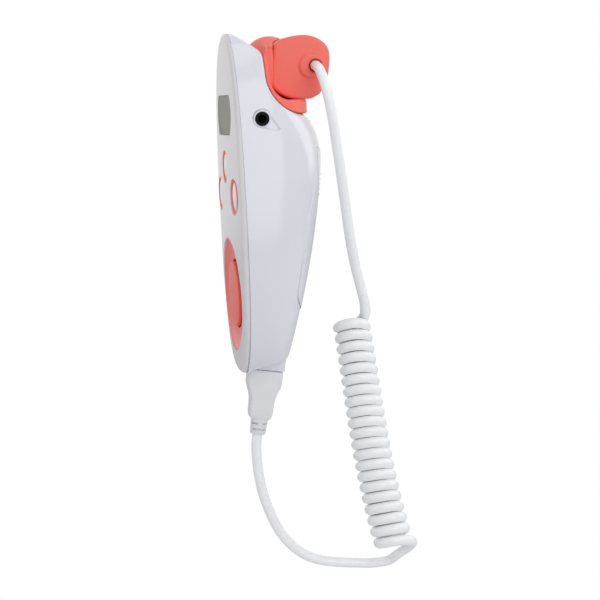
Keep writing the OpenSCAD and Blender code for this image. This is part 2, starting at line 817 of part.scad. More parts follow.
module usb_socket() {
    w = usb_w + 2 * usb_fit;
    t = usb_t + 2 * usb_fit;
    color(metal) at_plug() union() {
        difference() {
            intersection() {
                socket_outer(0);
                translate([-10, -15, collar_face]) cube([20, 30, usb_deep]);
            }
            translate([-t / 2, -w / 2, collar_face - 1]) cube([t, w, usb_deep]);
        }
        // contact tongue
        translate([0.25, -w / 2 + 1, collar_face + 2]) cube([1.5, w - 2, usb_deep - 3]);
    }
}

module plug_shell() {
    long = 11.6;
    color(metal) at_plug() translate([0, 0, -4]) difference() {
        translate([-usb_t / 2, -usb_w / 2, 0]) cube([usb_t, usb_w, long + 4]);
        translate([-usb_t / 2 + 0.35, -usb_w / 2 + 0.35, 6]) cube([usb_t - 0.7, usb_w - 0.7, long]);
    }
}

// Rounded rectangle ring for the plug's moulding
pill_e = 0.36;
function pill(w, t, z) =
    [for (i = [0:27])
        let (a = 360 * i / 28)
            [t / 2 * spow(cos(a), pill_e), w / 2 * spow(sin(a), pill_e), z]];
neck_w = 10.6;
neck_end = 21.4;
plug_top = -0.1;
module plug_overmould() {
    color(cord_white) at_plug() difference() {
        loft([
            pill(neck_w - 2.8, plug_t - 2.2, -neck_end),
            pill(neck_w - 1, plug_t - 1.1, -20.4),
            pill(neck_w + 0.2, plug_t - 0.6, -18.4),
            pill(neck_w + 0.4, plug_t - 0.5, -14.5),
            pill(neck_w + 1.6, plug_t - 0.3, -12),
            pill(plug_w - 1.6, plug_t, -9.2),
            pill(plug_w, plug_t, -7.4),
            pill(plug_w, plug_t, -0.8 + plug_top),
            pill(plug_w - 1, plug_t - 1, plug_top)
        ]);
        translate([-usb_t / 2, -usb_w / 2, -4]) cube([usb_t, usb_w, 6]);
    }
}

relief_l = 7.8;
relief_end = -neck_end - relief_l;
module plug_strain_relief() {
    top_r = 3.85;
    end_r = 3.4;
    slot_w = 1;
    slot_floor = cord_d / 2 + 0.3;
    color(cord_white) at_plug() difference() {
        translate([0, 0, relief_end]) rotate_extrude($fn = fine) polygon([
            [0, 0], [end_r - 0.4, 0], [end_r, 0.4], [top_r, relief_l - 0.4], [top_r, relief_l], [0, relief_l]
        ]);
        // flex slots on both faces, two short and one long
        for (s = [-1, 1]) translate([s * (slot_floor + 3), 0, 0]) {
            for (q = [-1, 1]) translate([-3, q * 2.5 - 2, -24.2]) cube([6, 4, slot_w]);
            translate([-3, -2.8, -27]) cube([6, 5.6, slot_w]);
        }
    }
}

// ---------- Probe ----------

grip_front_y = cup_back_y + grip_gap;
grip_front_top = 69.3;
grip_mid = [31.5, 59];
// Side view of the grip, from the bottom front corner anticlockwise
grip_foot_z = 45.1;
grip_corner_r = 4.2;
grip_outline = concat(
    arc([grip_front_y + 0.2 + grip_corner_r, grip_foot_z + grip_corner_r], grip_corner_r, 182, 268, 6),
    [[33, grip_foot_z], [36.6, 46.1], [39.6, 48.9], [42, 53.4], [43.4, 59], [43.6, 63.4]],
    arc([36.8, 65.6], 6.8, 0, 78, 6),
    [[34.6, 72.6], [31, 72.5], [26, 71.6], [20.6, 70.2], [18.8, grip_front_top], [grip_front_y, 67.8]]
);
function grip_ring(x) =
    let (q = abs(x) / (grip_w / 2), k = pow(max(0, 1 - pow(q, 5)), 1 / 5))
        [for (p = grip_outline) let (s = grip_mid + (p - grip_mid) * k) [x, max(s[0], grip_front_y), s[1]]];
bush_y = 36.2;
bush_z = 59;
bush_r = 4.2;
bush_deep = 4.5;

module probe_grip() {
    steps = [-0.985, -0.96, -0.9, -0.8, -0.62, -0.3, 0.3, 0.62, 0.8, 0.9, 0.96, 0.985];
    color(coral) difference() {
        loft([for (q = steps) grip_ring(q * grip_w / 2)]);
        facing_right([grip_w / 2 - bush_deep, bush_y, bush_z]) cylinder(h = 10, r = bush_r, $fn = fine);
        facing_back([0, grip_front_y - 1, cup_z]) cylinder(h = 6, d = neck_d, $fn = fine);
    }
}

neck_d = 18;
head_front_y = pocket_floor_y + 0.6;
face_d = head_d - 4;
module probe_head() {
    color(coral) facing_back([0, head_front_y, cup_z]) difference() {
        rotate_extrude($fn = 72) polygon(concat(
            [[0, 0]],
            arc([head_d / 2 - 1.2, 1.2], 1.2, -90, 0, 4),
            [[head_d / 2, grip_front_y - head_front_y], [neck_d / 2, grip_front_y - head_front_y],
             [neck_d / 2, grip_front_y - head_front_y + 5], [0, grip_front_y - head_front_y + 5]]
        ));
        translate([0, 0, -1]) cylinder(h = 3, d = face_d, $fn = 72);
    }
}

crystal_d = face_d - 3;
module probe_face() {
    color(face_white) facing_back([0, head_front_y, cup_z]) difference() {
        cylinder(h = 2, d = face_d, $fn = 72);
        translate([0, 0, 1]) cylinder(h = 3, d = crystal_d, $fn = 72);
    }
}

module probe_crystals() {
    color(metal) facing_back([0, head_front_y + 1, cup_z]) for (s = [-1, 1]) intersection() {
        cylinder(h = 1, d = crystal_d, $fn = 72);
        translate([s > 0 ? 0.4 : -20.4, -20, -1]) cube([20, 40, 4]);
    }
}

module probe_cord_bush() {
    lip = 4.9;
    color(coral) facing_right([grip_w / 2 - bush_deep, bush_y, bush_z]) difference() {
        rotate_extrude($fn = fine) polygon([
            [0, 0], [bush_r, 0], [bush_r, bush_deep], [lip, bush_deep], [lip - 0.4, bush_deep + 0.5],
            [cord_hole_d / 2 + 0.5, bush_deep + 0.9], [0, bush_deep + 0.9]
        ]);
        translate([0, 0, 1.5]) cylinder(h = 10, d = cord_hole_d, $fn = fine);
    }
}

// ---------- Lead ----------

cord_exit = [grip_w / 2 - bush_deep + 1.5, bush_y, bush_z];

// Curly part: its axis is a smooth curve in the middle plane, its turns come from a formula
coil_r = (coil_d - cord_d) / 2;
axis_pts = [[49.8, -53.3], [54.2, -88], [57.2, -122], [65.6, -156]];
function axis_at(t) =
    let (u = 1 - t) u * u * u * axis_pts[0] + 3 * u * u * t * axis_pts[1]
        + 3 * u * t * t * axis_pts[2] + t * t * t * axis_pts[3];
function axis_dir(t) =
    let (u = 1 - t) unit(u * u * (axis_pts[1] - axis_pts[0]) + 2 * u * t * (axis_pts[2] - axis_pts[1])
        + t * t * (axis_pts[3] - axis_pts[2]));
// A point beside the axis: angle a round it, radius r, and drop along it
function beside(t, a, r, drop) =
    let (c = axis_at(t), d = axis_dir(t), out = [-d[1], d[0]])
        let (p = c + out * r * sin(a) + d * drop) [r * cos(a), p[0], p[1]];

lead_steps = 6;
lead_a = 90;
lead_sweep = 60;
lead_drop = 6;
lead_wide = -1;
first_a = lead_a + lead_sweep;
last_a = 360 * curls - 30;
rings_a_turn = 8;
tail_a = 150;
tail_steps = 5;
tail_wide = 2;
tail_drop = 5;
coil_stub = cord_d;
function lead_point(v) =
    beside(0, lead_a + lead_sweep * v * v, coil_r + lead_wide * (1 - v) * (1 - v),
        -lead_drop * (1 - v) * (1 - v) * 0.75 - lead_drop * (1 - v) * 0.25);
function turn_point(a) = beside((a - first_a) / (last_a - first_a), a, coil_r, 0);
pitch = norm(turn_point(360 * 10 + 360) - turn_point(360 * 10));
function tail_point(v) =
    beside(1, last_a + (tail_a + 30) * v, coil_r + tail_wide * v * v * (3 - 2 * v),
        pitch * (tail_a + 30) / 360 * v + tail_drop * v * v);
turn_steps = round(rings_a_turn * (last_a - first_a) / 360);
bare_coil = concat(
    [for (i = [0:lead_steps - 1]) lead_point(i / lead_steps)],
    [for (i = [0:turn_steps]) turn_point(first_a + (last_a - first_a) * i / turn_steps)],
    [for (i = [1:tail_steps]) tail_point(i / tail_steps)]
);
coil_in = unit(lead_point(0) - lead_point(0.02));
coil_out = unit(tail_point(1) - tail_point(0.98));
coil_path = concat(
    [bare_coil[0] + coil_in * coil_stub],
    bare_coil,
    [bare_coil[len(bare_coil) - 1] + coil_out * coil_stub]
);
coil_start = coil_path[0];
coil_end = coil_path[len(coil_path) - 1];

// Least gap of the curly part to itself, between points more than a third of a turn apart
coil_gap = min([
    for (i = [0:len(coil_path) - 1], j = [i + 4:len(coil_path) - 1])
        if (j - i < 3 * rings_a_turn) norm(coil_path[i] - coil_path[j])
]) - cord_d;
echo(coil_gap = coil_gap, pitch = pitch, coil_points = len(coil_path));

module cord_coil() {
    sides = 6;
    last = len(coil_path) - 1;
    color(cord_white) loft([
        for (i = [0:last])
            let (
                t = i == 0 ? -coil_in : i == last ? coil_out : along(coil_path, i),
                c = axis_point_near(i),
                r = unit(coil_path[i] - c),
                u = unit(r - t * (r * t)),
                v = cross(t, u)
            )
                [for (k = [0:sides - 1])
                    coil_path[i] + cord_d / 2 * (cos(360 * k / sides) * u + sin(360 * k / sides) * v)]
    ]);
}
// The point of the axis that ring i turns round
function axis_point_near(i) =
    let (k = i - 1 - lead_steps, t = min(1, max(0, k / turn_steps)), c = axis_at(t), d = axis_dir(t))
        let (q = coil_path[i], h = (q[1] - c[0]) * d[0] + (q[2] - c[1]) * d[1])
            [0, c[0] + d[0] * h, c[1] + d[1] * h];

upper_route = concat([cord_exit], [
    [19, 36.2, 59], [23.5, 36.4, 57.8], [27.5, 37, 54.6], [30, 37.8, 50], [31, 38.8, 44.4],
    [30.8, 39.8, 38], [29.8, 40.8, 31.2], [27.8, 42.1, 22], [24.8, 43.7, 11.8], [21.2, 45.4, 1.2],
    [17, 47.2, -10], [12.6, 49.2, -20.4], [8.6, 51.6, -29.6], [5, 53.6, -37.6]
], [coil_start + coil_in * cord_d, coil_start]);
lower_route = concat([coil_end, coil_end + coil_out * cord_d], [
    [-7.4, 55.4, -168.2], [-6.6, 48, -167.2], [-5.4, 40.4, -165.9], [-4.2, 33, -164.2], [-3.2, 26.4, -161.6],
    [-2.4, 20.4, -157.4], [-1.6, 15.6, -152.2], [-0.8, 11.6, -145.8], [0, 8.6, -138.8], [0, 6.2, -131.2],
    [0, 4.7, -123.2], [0, 4, -115.2]
], [plug_point(relief_end - cord_d), plug_point(relief_end)]);

module cord_upper() {
    color(cord_white) tube(upper_route, cord_d, 8, [0, 1, 0]);
}
module cord_lower() {
    color(cord_white) tube(lower_route, cord_d, 8, [1, 0, 0]);
}

// ---------- Nodes ----------

front_panel();
back_shell();
battery_door();
probe_cradle();
case_screws();
lcd_window();
lcd_module();
key_bezel(top_key);  // key_bezel_top
key_bezel(left_key);  // key_bezel_left
key_bezel(right_key);  // key_bezel_right
key_cap(top_key);  // key_top
key_cap(left_key);  // key_left
key_cap(right_key);  // key_right
speaker_dish();
speaker_cap();
loudspeaker();
main_board();
key_switches();
battery_tray();
battery_cells();
battery_springs();
battery_contacts();
headphone_jack();
jack_ring();
usb_socket();
socket_collar();
probe_grip();
probe_head();
probe_face();
probe_crystals();
probe_cord_bush();
cord_upper();
cord_coil();
cord_lower();
plug_strain_relief();
plug_overmould();
plug_shell();
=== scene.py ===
# %% [markdown]
# # A handheld fetal doppler
# The real object is a slim oval monitor. Its back shell is glossy white, its front is crowned, and
# a coral probe sits in a notch at the top of its back. A white lead leaves the probe, winds down
# in a tight curl and comes back up into a socket in the foot.
# We dress a model that another program has already measured out. It gives every part its place,
# so this lesson only makes surfaces, materials and light. All sizes below are millimetres until
# the helper that builds a mesh turns them into metres.

# %% Load the measured model
import math

import bmesh
import bpy
import numpy as np
from mathutils import Matrix, Vector


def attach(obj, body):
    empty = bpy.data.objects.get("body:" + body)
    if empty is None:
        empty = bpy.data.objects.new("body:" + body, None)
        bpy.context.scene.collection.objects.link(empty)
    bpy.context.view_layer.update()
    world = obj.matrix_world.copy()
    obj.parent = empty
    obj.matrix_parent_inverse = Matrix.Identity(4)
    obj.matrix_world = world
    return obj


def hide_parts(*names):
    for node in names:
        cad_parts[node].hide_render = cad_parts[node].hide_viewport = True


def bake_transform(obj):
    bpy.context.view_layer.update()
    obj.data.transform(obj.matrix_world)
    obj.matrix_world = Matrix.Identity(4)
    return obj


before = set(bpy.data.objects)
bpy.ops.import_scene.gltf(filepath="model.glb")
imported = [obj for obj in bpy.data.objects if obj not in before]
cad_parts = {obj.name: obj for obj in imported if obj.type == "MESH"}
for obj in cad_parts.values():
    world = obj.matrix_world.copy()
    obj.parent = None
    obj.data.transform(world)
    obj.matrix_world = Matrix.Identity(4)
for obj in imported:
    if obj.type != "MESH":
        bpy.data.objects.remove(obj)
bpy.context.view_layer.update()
MM = 0.001

# %% [markdown]
# ## The camera
# The photograph looks at the right side of the case and a little at its front. Far back and with
# a long lens the outlines stay calm, so we stand 0.8 m away. The object leans a little in the
# picture, and we lean the camera instead of the object, because the object has to stay upright.

# %% Place the camera
CAMERA_AZIMUTH = 80.0
CAMERA_ELEVATION = 6.3
CAMERA_ROLL = 3.0
CAMERA_DISTANCE = 0.8
CAMERA_TARGET = Vector((9.64, 25.56, -42.67)) * MM
FIELD_WIDTH = 0.264
SENSOR_WIDTH = 36.0


def place_camera():
    a, e, roll = (math.radians(v) for v in (CAMERA_AZIMUTH, CAMERA_ELEVATION, CAMERA_ROLL))
    back = Vector((math.sin(a) * math.cos(e), -math.cos(a) * math.cos(e), math.sin(e)))
    level_right = Vector((math.cos(a), math.sin(a), 0))
    level_up = back.cross(level_right)
    right = level_right * math.cos(roll) - level_up * math.sin(roll)
    up = level_right * math.sin(roll) + level_up * math.cos(roll)
    data = bpy.data.cameras.new("camera")
    data.sensor_width = SENSOR_WIDTH
    data.lens = SENSOR_WIDTH * CAMERA_DISTANCE / FIELD_WIDTH
    data.clip_start = 0.05
    data.clip_end = 20
    camera = bpy.data.objects.new("camera", data)
    bpy.context.scene.collection.objects.link(camera)
    turn = Matrix((right, up, back)).transposed().to_4x4()
    camera.matrix_world = Matrix.Translation(CAMERA_TARGET + back * CAMERA_DISTANCE) @ turn
    bpy.context.scene.camera = camera
    return camera


camera = place_camera()
print("lens", round(camera.data.lens, 1), "mm")

# %% [markdown]
# ## Small tools for shapes
# Most parts here are one of three kinds: turned round an axis, like a key; swept along a path,
# like the lead; or moulded with soft edges everywhere, like the shell. We write one tool for each
# kind, and each of them ends in the same place: a list of points and faces that becomes a mesh.

# %% Points and faces become an object
def make_object(name, points, faces, smooth_angle=None):
    mesh = bpy.data.meshes.new(name)
    mesh.from_pydata([tuple(float(v) * MM for v in p) for p in points], [], faces)
    mesh.validate()
    obj = bpy.data.objects.new(name, mesh)
    bpy.context.scene.collection.objects.link(obj)
    soften(obj, smooth_angle)
    return obj


def soften(obj, smooth_angle=None):
    """Smooth shading, with edges sharper than the angle left crisp."""
    mesh = obj.data
    mesh.polygons.foreach_set("use_smooth", [True] * len(mesh.polygons))
    if smooth_angle is not None:
        mesh.set_sharp_from_angle(angle=math.radians(smooth_angle))
    mesh.update()


def tidy_normals(obj, merge=0.0):
    """Merges doubles and turns every face outwards."""
    bm = bmesh.new()
    bm.from_mesh(obj.data)
    if merge:
        bmesh.ops.remove_doubles(bm, verts=bm.verts, dist=merge * MM)
    bmesh.ops.recalc_face_normals(bm, faces=bm.faces)
    bm.to_mesh(obj.data)
    bm.free()

# %% [markdown]
# ## Turned parts
# Keys, bezels, the dish and the jack are round. A profile of (radius, height) pairs spun round an
# axis gives them, and it is quicker than a Screw modifier because we can round each corner of the
# profile first. A corner rounded over a quarter of a millimetre catches the light as moulding does.

# %% Turn a profile round an axis
TURNED_EDGE = 40
WELD = 0.001


def rounded(profile, radius, steps=4):
    """Rounds the inner corners of an open profile; radius may be one number or one for each corner."""
    out = [profile[0]]
    for i in range(1, len(profile) - 1):
        a, b, c = (np.array(profile[k], float) for k in (i - 1, i, i + 1))
        r = radius[i] if isinstance(radius, (list, tuple)) else radius
        ab, cb = a - b, c - b
        la, lc = np.linalg.norm(ab), np.linalg.norm(cb)
        cut = min(r, 0.45 * la, 0.45 * lc)
        if cut < 1e-4:
            out.append(tuple(b))
            continue
        p, q = b + ab / la * cut, b + cb / lc * cut
        for k in range(steps + 1):
            t = k / steps
            out.append(tuple((1 - t) ** 2 * p + 2 * t * (1 - t) * b + t * t * q))
    out.append(profile[-1])
    return out


def turned(name, profile, place, axis="y", sides=96, merge=0.0):
    """Profile points are (radius, distance along the axis). A radius of 0 closes the end, and so
    does a profile that comes back to its first point, if it is given a merge distance."""
    points, faces, rings = [], [], []
    for r, h in profile:
        if r < 1e-6:
            rings.append([len(points)])
            points.append((0, 0, h))
        else:
            rings.append(list(range(len(points), len(points) + sides)))
            points += [(r * math.cos(2 * math.pi * k / sides), r * math.sin(2 * math.pi * k / sides), h)
                       for k in range(sides)]
    for low, high in zip(rings[:-1], rings[1:]):
        for k in range(sides):
            n = (k + 1) % sides
            ring = [low[k % len(low)], low[n % len(low)], high[n % len(high)], high[k % len(high)]]
            face = [v for j, v in enumerate(ring) if v not in ring[:j]]
            if len(face) > 2:
                faces.append(face)
    swap = {"y": lambda p: (p[0], p[2], -p[1]), "x": lambda p: (p[2], p[1], -p[0]), "z": lambda p: p}[axis]
    points = [tuple(np.array(swap(p)) + np.array(place)) for p in points]
    obj = make_object(name, points, faces)
    tidy_normals(obj, merge)
    soften(obj, TURNED_EDGE)
    return obj

# %% [markdown]
# ## Moulded parts
# A moulded shell has no sharp corner anywhere. We describe such a part by a field: a number for
# each point of space that is negative inside the part and positive outside, about the distance to
# its surface. Two fields joined with a soft maximum meet in a fillet. A surface net then walks
# a fine grid and puts one point in each cell that the surface crosses.

# %% Soft joins of fields
def soft_max(a, b, r):
    """Where both hold, with a fillet of about radius r on the outer edge."""
    h = np.clip(0.5 + 0.5 * (a - b) / r, 0, 1)
    return b + (a - b) * h + r * h * (1 - h)


def soft_min(a, b, r):
    return -soft_max(-a, -b, r)


def as_distance(field, h=0.05):
    """Scales a field by its own slope, so that it measures distance near its surface."""
    def scaled(x, y, z):
        f = field(x, y, z)
        gx = (field(x + h, y, z) - f) / h
        gy = (field(x, y + h, z) - f) / h
        gz = (field(x, y, z + h) - f) / h
        return f / np.maximum(0.02, np.sqrt(gx * gx + gy * gy + gz * gz))
    return scaled

# %% How far a point is from an outline
def outline_distance(outline):
    """Signed distance to a closed outline given as (u, v) points, negative inside."""
    pts = np.array(outline, float)
    nxt = np.roll(pts, -1, axis=0)

    def distance(u, v):
        u, v = np.broadcast_arrays(np.asarray(u, float), np.asarray(v, float))
        best = np.full(u.shape, 1e9)
        inside = np.zeros(u.shape, bool)
        for (ax, ay), (bx, by) in zip(pts, nxt):
            ex, ey = bx - ax, by - ay
            t = np.clip(((u - ax) * ex + (v - ay) * ey) / (ex * ex + ey * ey), 0, 1)
            best = np.minimum(best, (u - ax - t * ex) ** 2 + (v - ay - t * ey) ** 2)
            crosses = (ay > v) != (by > v)
            with np.errstate(divide="ignore", invalid="ignore"):
                at = ax + (v - ay) / (by - ay) * ex if by != ay else np.full(u.shape, np.inf)
            inside ^= crosses & (u < at)
        return np.where(inside, -1, 1) * np.sqrt(best)
    return distance

# %% The surface net
NET_STEP, NET_PULLS, NET_STRIDE = 0.02, 4, 0.3


def carve(name, field, low, high, step):
    """Makes the surface where the field is zero, inside the box from low to high."""
    axes = [np.arange(lo, hi + step, step) for lo, hi in zip(low, high)]
    grid = field(axes[0][:, None, None], axes[1][None, :, None], axes[2][None, None, :])
    grid = np.array(np.broadcast_to(grid, [len(a) for a in axes]))
    cells = tuple(n - 1 for n in grid.shape)
    total, count = np.zeros(cells + (3,)), np.zeros(cells)
    quads = []
    for axis in range(3):
        near = np.take(grid, range(grid.shape[axis] - 1), axis=axis)
        far = np.take(grid, range(1, grid.shape[axis]), axis=axis)
        crossing = (near < 0) != (far < 0)
        other = [k for k in range(3) if k != axis]
        for k in other:  # an edge on the grid's border has no four cells round it
            for border in (0, -1):
                edge = [slice(None)] * 3
                edge[k] = border
                crossing[tuple(edge)] = False
        index = np.argwhere(crossing)
        f0, f1 = near[crossing], far[crossing]
        place = index.astype(float)
        place[:, axis] += f0 / (f0 - f1)
        corners = []
        for da, db in ((0, 0), (1, 0), (1, 1), (0, 1)):
            cell = index.copy()
            cell[:, other[0]] -= da
            cell[:, other[1]] -= db
            np.add.at(total, tuple(cell.T), place)
            np.add.at(count, tuple(cell.T), 1)
            corners.append(np.ravel_multi_index(cell.T, cells))
        quad = np.stack(corners, axis=1)
        forward = (f0 < 0) != (axis == 1)
        quads.append(np.where(forward[:, None], quad, quad[:, ::-1]))
    used = np.flatnonzero(count.ravel())
    number = np.full(count.size, -1)
    number[used] = np.arange(len(used))
    points = total.reshape(-1, 3)[used] / count.ravel()[used][:, None] * step + np.array(low)
    for _ in range(NET_PULLS):  # pull the points onto the surface
        h = NET_STEP
        x, y, z = points.T
        f = field(x, y, z)
        ahead = (field(x + h, y, z), field(x, y + h, z), field(x, y, z + h))
        slope = (np.stack(ahead, axis=1) - f[:, None]) / h
        size = np.maximum((slope * slope).sum(axis=1), 0.05)
        move = -(f / size)[:, None] * slope
        length = np.linalg.norm(move, axis=1)
        points += move * np.minimum(1, NET_STRIDE * step / np.maximum(length, 1e-9))[:, None]
    faces = number[np.concatenate(quads)]
    obj = make_object(name, points, faces.tolist())
    tidy_normals(obj)
    soften(obj)
    print(name, len(points), "points")
    return obj

# %% [markdown]
# ## Crisp openings
# The window's edge, the key holes and the battery opening are sharp, which a grid would blur. We
# cut them afterwards with an exact boolean, and we bake each one so that no modifier is left.

# %% Cut one mesh with another
def baked(obj):
    """The mesh that an object's modifiers make."""
    return bpy.data.meshes.new_from_object(obj.evaluated_get(bpy.context.evaluated_depsgraph_get()))


def cut(obj, tool, operation="DIFFERENCE"):
    """A boolean with the exact solver, baked into the mesh. The tool is used up."""
    modifier = obj.modifiers.new("cut", "BOOLEAN")
    modifier.operation = operation
    modifier.solver = "EXACT"
    modifier.object = tool
    mesh = baked(obj)
    obj.modifiers.clear()
    old = obj.data
    obj.data = mesh
    mesh.name = obj.name
    bpy.data.meshes.remove(old)
    bpy.data.objects.remove(tool)
    return obj

# %% Solids from stacked outlines
def stack_faces(rings, sides, caps=True):
    """Quads between neighbouring rings of as many points, and a face over each end."""
    faces = []
    for low in range(0, (rings - 1) * sides, sides):
        for k in range(sides):
            n = (k + 1) % sides
            faces.append([low + k, low + n, low + sides + n, low + sides + k])
    if caps:
        faces += [list(range(sides))[::-1], list(range((rings - 1) * sides, rings * sides))]
    return faces


def prism(name, outline, low, high):
    """An outline given as (x, z) points, extruded along y from low to high."""
    points = [(x, y, z) for y in (low, high) for x, z in outline]
    obj = make_object(name, points, stack_faces(2, len(outline)))
    tidy_normals(obj)
    return obj

# %% [markdown]
# ## Finishes
# Moulded plastic is never quite even: it has a faint orange-peel ripple, and its gloss varies
# where hands and the mould have touched it. One node group holds that effect, and every plastic
# on the object uses it with its own strengths. The shader itself stays in each material.

# %% The moulded-plastic group
def moulded_group():
    group = bpy.data.node_groups.new("moulded surface", "ShaderNodeTree")
    face = group.interface
    for name, value in (("Ripple scale", 300.0), ("Ripple height", 0.02), ("Roughness", 0.25),
                        ("Roughness change", 0.05), ("Tone change", 0.02)):
        socket = face.new_socket(name, in_out="INPUT", socket_type="NodeSocketFloat")
        socket.default_value = value
    colour_in = face.new_socket("Colour", in_out="INPUT", socket_type="NodeSocketColor")
    colour_in.default_value = (0.8, 0.8, 0.8, 1)
    face.new_socket("Colour", in_out="OUTPUT", socket_type="NodeSocketColor")
    face.new_socket("Roughness", in_out="OUTPUT", socket_type="NodeSocketFloat")
    face.new_socket("Normal", in_out="OUTPUT", socket_type="NodeSocketVector")
    nodes, links = group.nodes, group.links
    inside, out = nodes.new("NodeGroupInput"), nodes.new("NodeGroupOutput")
    place = nodes.new("ShaderNodeTexCoord")
    ripple, cloud = nodes.new("ShaderNodeTexNoise"), nodes.new("ShaderNodeTexNoise")
    ripple.inputs["Detail"].default_value = 1.5
    cloud.inputs["Scale"].default_value = 38
    cloud.inputs["Detail"].default_value = 3
    links.new(place.outputs["Object"], ripple.inputs["Vector"])
    links.new(place.outputs["Object"], cloud.inputs["Vector"])
    links.new(inside.outputs["Ripple scale"], ripple.inputs["Scale"])
    bump = nodes.new("ShaderNodeBump")
    bump.inputs["Distance"].default_value = 0.0002
    links.new(inside.outputs["Ripple height"], bump.inputs["Strength"])
    links.new(ripple.outputs["Fac"], bump.inputs["Height"])
    links.new(bump.outputs["Normal"], out.inputs["Normal"])
    centred = nodes.new("ShaderNodeMath")
    centred.operation = "SUBTRACT"
    centred.inputs[1].default_value = 0.5
    links.new(cloud.outputs["Fac"], centred.inputs[0])
    gloss = nodes.new("ShaderNodeMath")
    gloss.operation = "MULTIPLY_ADD"
    links.new(centred.outputs[0], gloss.inputs[0])
    links.new(inside.outputs["Roughness change"], gloss.inputs[1])
    links.new(inside.outputs["Roughness"], gloss.inputs[2])
    links.new(gloss.outputs[0], out.inputs["Roughness"])
    tone = nodes.new("ShaderNodeMath")
    tone.operation = "MULTIPLY_ADD"
    tone.inputs[2].default_value = 1.0
    links.new(centred.outputs[0], tone.inputs[0])
    links.new(inside.outputs["Tone change"], tone.inputs[1])
    shade = nodes.new("ShaderNodeVectorMath")
    shade.operation = "SCALE"
    links.new(inside.outputs["Colour"], shade.inputs[0])
    links.new(tone.outputs[0], shade.inputs["Scale"])
    links.new(shade.outputs["Vector"], out.inputs["Colour"])
    return group


moulded = moulded_group()

# %% Plastics, metals and glass
TONE_CHANGE = 0.03
SKIN_REACH = (1.0, 0.3, 0.2)  # red light travels furthest through coral plastic


def material(name, colour, roughness=0.25, metallic=0.0, ripple=(300, 0.02), change=0.06,
             coat=0.0, ior=1.47, sub=0.0):
    """A plastic or metal that takes its unevenness from the group. sub lets light in under the skin."""
    mat = bpy.data.materials.new(name)
    mat.use_nodes = True
    nodes, links = mat.node_tree.nodes, mat.node_tree.links
    shader = nodes["Principled BSDF"]
    effect = nodes.new("ShaderNodeGroup")
    effect.node_tree = moulded
    effect.inputs["Colour"].default_value = (*colour, 1)
    effect.inputs["Ripple scale"].default_value = ripple[0]
    effect.inputs["Ripple height"].default_value = ripple[1]
    effect.inputs["Roughness"].default_value = roughness
    effect.inputs["Roughness change"].default_value = change
    effect.inputs["Tone change"].default_value = TONE_CHANGE
    links.new(effect.outputs["Colour"], shader.inputs["Base Color"])
    links.new(effect.outputs["Roughness"], shader.inputs["Roughness"])
    links.new(effect.outputs["Normal"], shader.inputs["Normal"])
    shader.inputs["Metallic"].default_value = metallic
    shader.inputs["IOR"].default_value = ior
    shader.inputs["Coat Weight"].default_value = coat
    shader.inputs["Coat Roughness"].default_value = 0.08
    if sub:
        shader.inputs["Subsurface Weight"].default_value = sub
        shader.inputs["Subsurface Radius"].default_value = SKIN_REACH
        shader.inputs["Subsurface Scale"].default_value = 0.002
    return mat


shell_white = material("glossy shell white", (0.78, 0.78, 0.835), 0.2, coat=0.35)
front_white = material("satin front white", (0.77, 0.745, 0.745), 0.3, coat=0.1)
key_white = material("satin key white", (0.94, 0.92, 0.92), 0.3)
coral_satin = material("satin coral", (0.97, 0.18, 0.138), 0.45, ripple=(420, 0.05), ior=1.4, sub=0.08)
coral_gloss = material("glossy coral", (0.97, 0.18, 0.145), 0.32, ior=1.42)
lead_white = material("white lead sheath", (0.95, 0.96, 0.96), 0.28, ripple=(500, 0.03), coat=0.25)
plug_white = material("white plug moulding", (0.8, 0.8, 0.815), 0.4, ripple=(600, 0.08))
jack_black = material("black moulding", (0.006, 0.006, 0.007), 0.6, ior=1.2)
display_olive = material("grey olive display", (0.25, 0.245, 0.205), 0.45)
window_tint = material("tinted window", (0.275, 0.27, 0.23), 0.4, ripple=(60, 0.004), ior=1.18)
board_green = material("board lacquer", (0.03, 0.12, 0.05), 0.35)
cell_sleeve = material("plain cell sleeve", (0.1, 0.11, 0.13), 0.3)
steel = material("nickel plate", (0.62, 0.62, 0.63), 0.25, metallic=1.0, ripple=(900, 0.05), change=0.15)
pale_ceramic = material("piezo ceramic", (0.55, 0.52, 0.44), 0.6)
face_rubber = material("soft probe face", (0.6, 0.57, 0.54), 0.55)


def finish(obj, mat, body, *nodes, slot=None):
    """Gives a piece its material and body, and hides the plain solids that it stands for."""
    obj.data.materials.clear()
    obj.data.materials.append(mat)
    if body:
        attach(obj, body)
    if nodes:
        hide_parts(*nodes)
    return obj

# %% [markdown]
# ## The lead
# The lead is one white cord, 4.4 mm thick. It leaves a hole in the probe's side, swings down
# behind the case, winds twenty-one times and comes up to the plug. A curve with a bevel would do,
# but Geometry Nodes let us sweep a circle along any path and give it its finish in one tree. The
# path comes first, because a cord is a length before it is a shape.

# %% The start and the end that every tree shares
def start_tree(name, kinds):
    """A tree with named inputs. It gives their identifiers, by which a modifier sets them."""
    tree = bpy.data.node_groups.new(name, "GeometryNodeTree")
    face = tree.interface
    face.new_socket("Geometry", in_out="INPUT", socket_type="NodeSocketGeometry")
    inputs = {}
    for label, kind in kinds.items():
        socket = face.new_socket(label, in_out="INPUT", socket_type="NodeSocket" + kind)
        inputs[label] = socket.identifier
    face.new_socket("Geometry", in_out="OUTPUT", socket_type="NodeSocketGeometry")
    return tree, tree.nodes.new("NodeGroupInput"), inputs


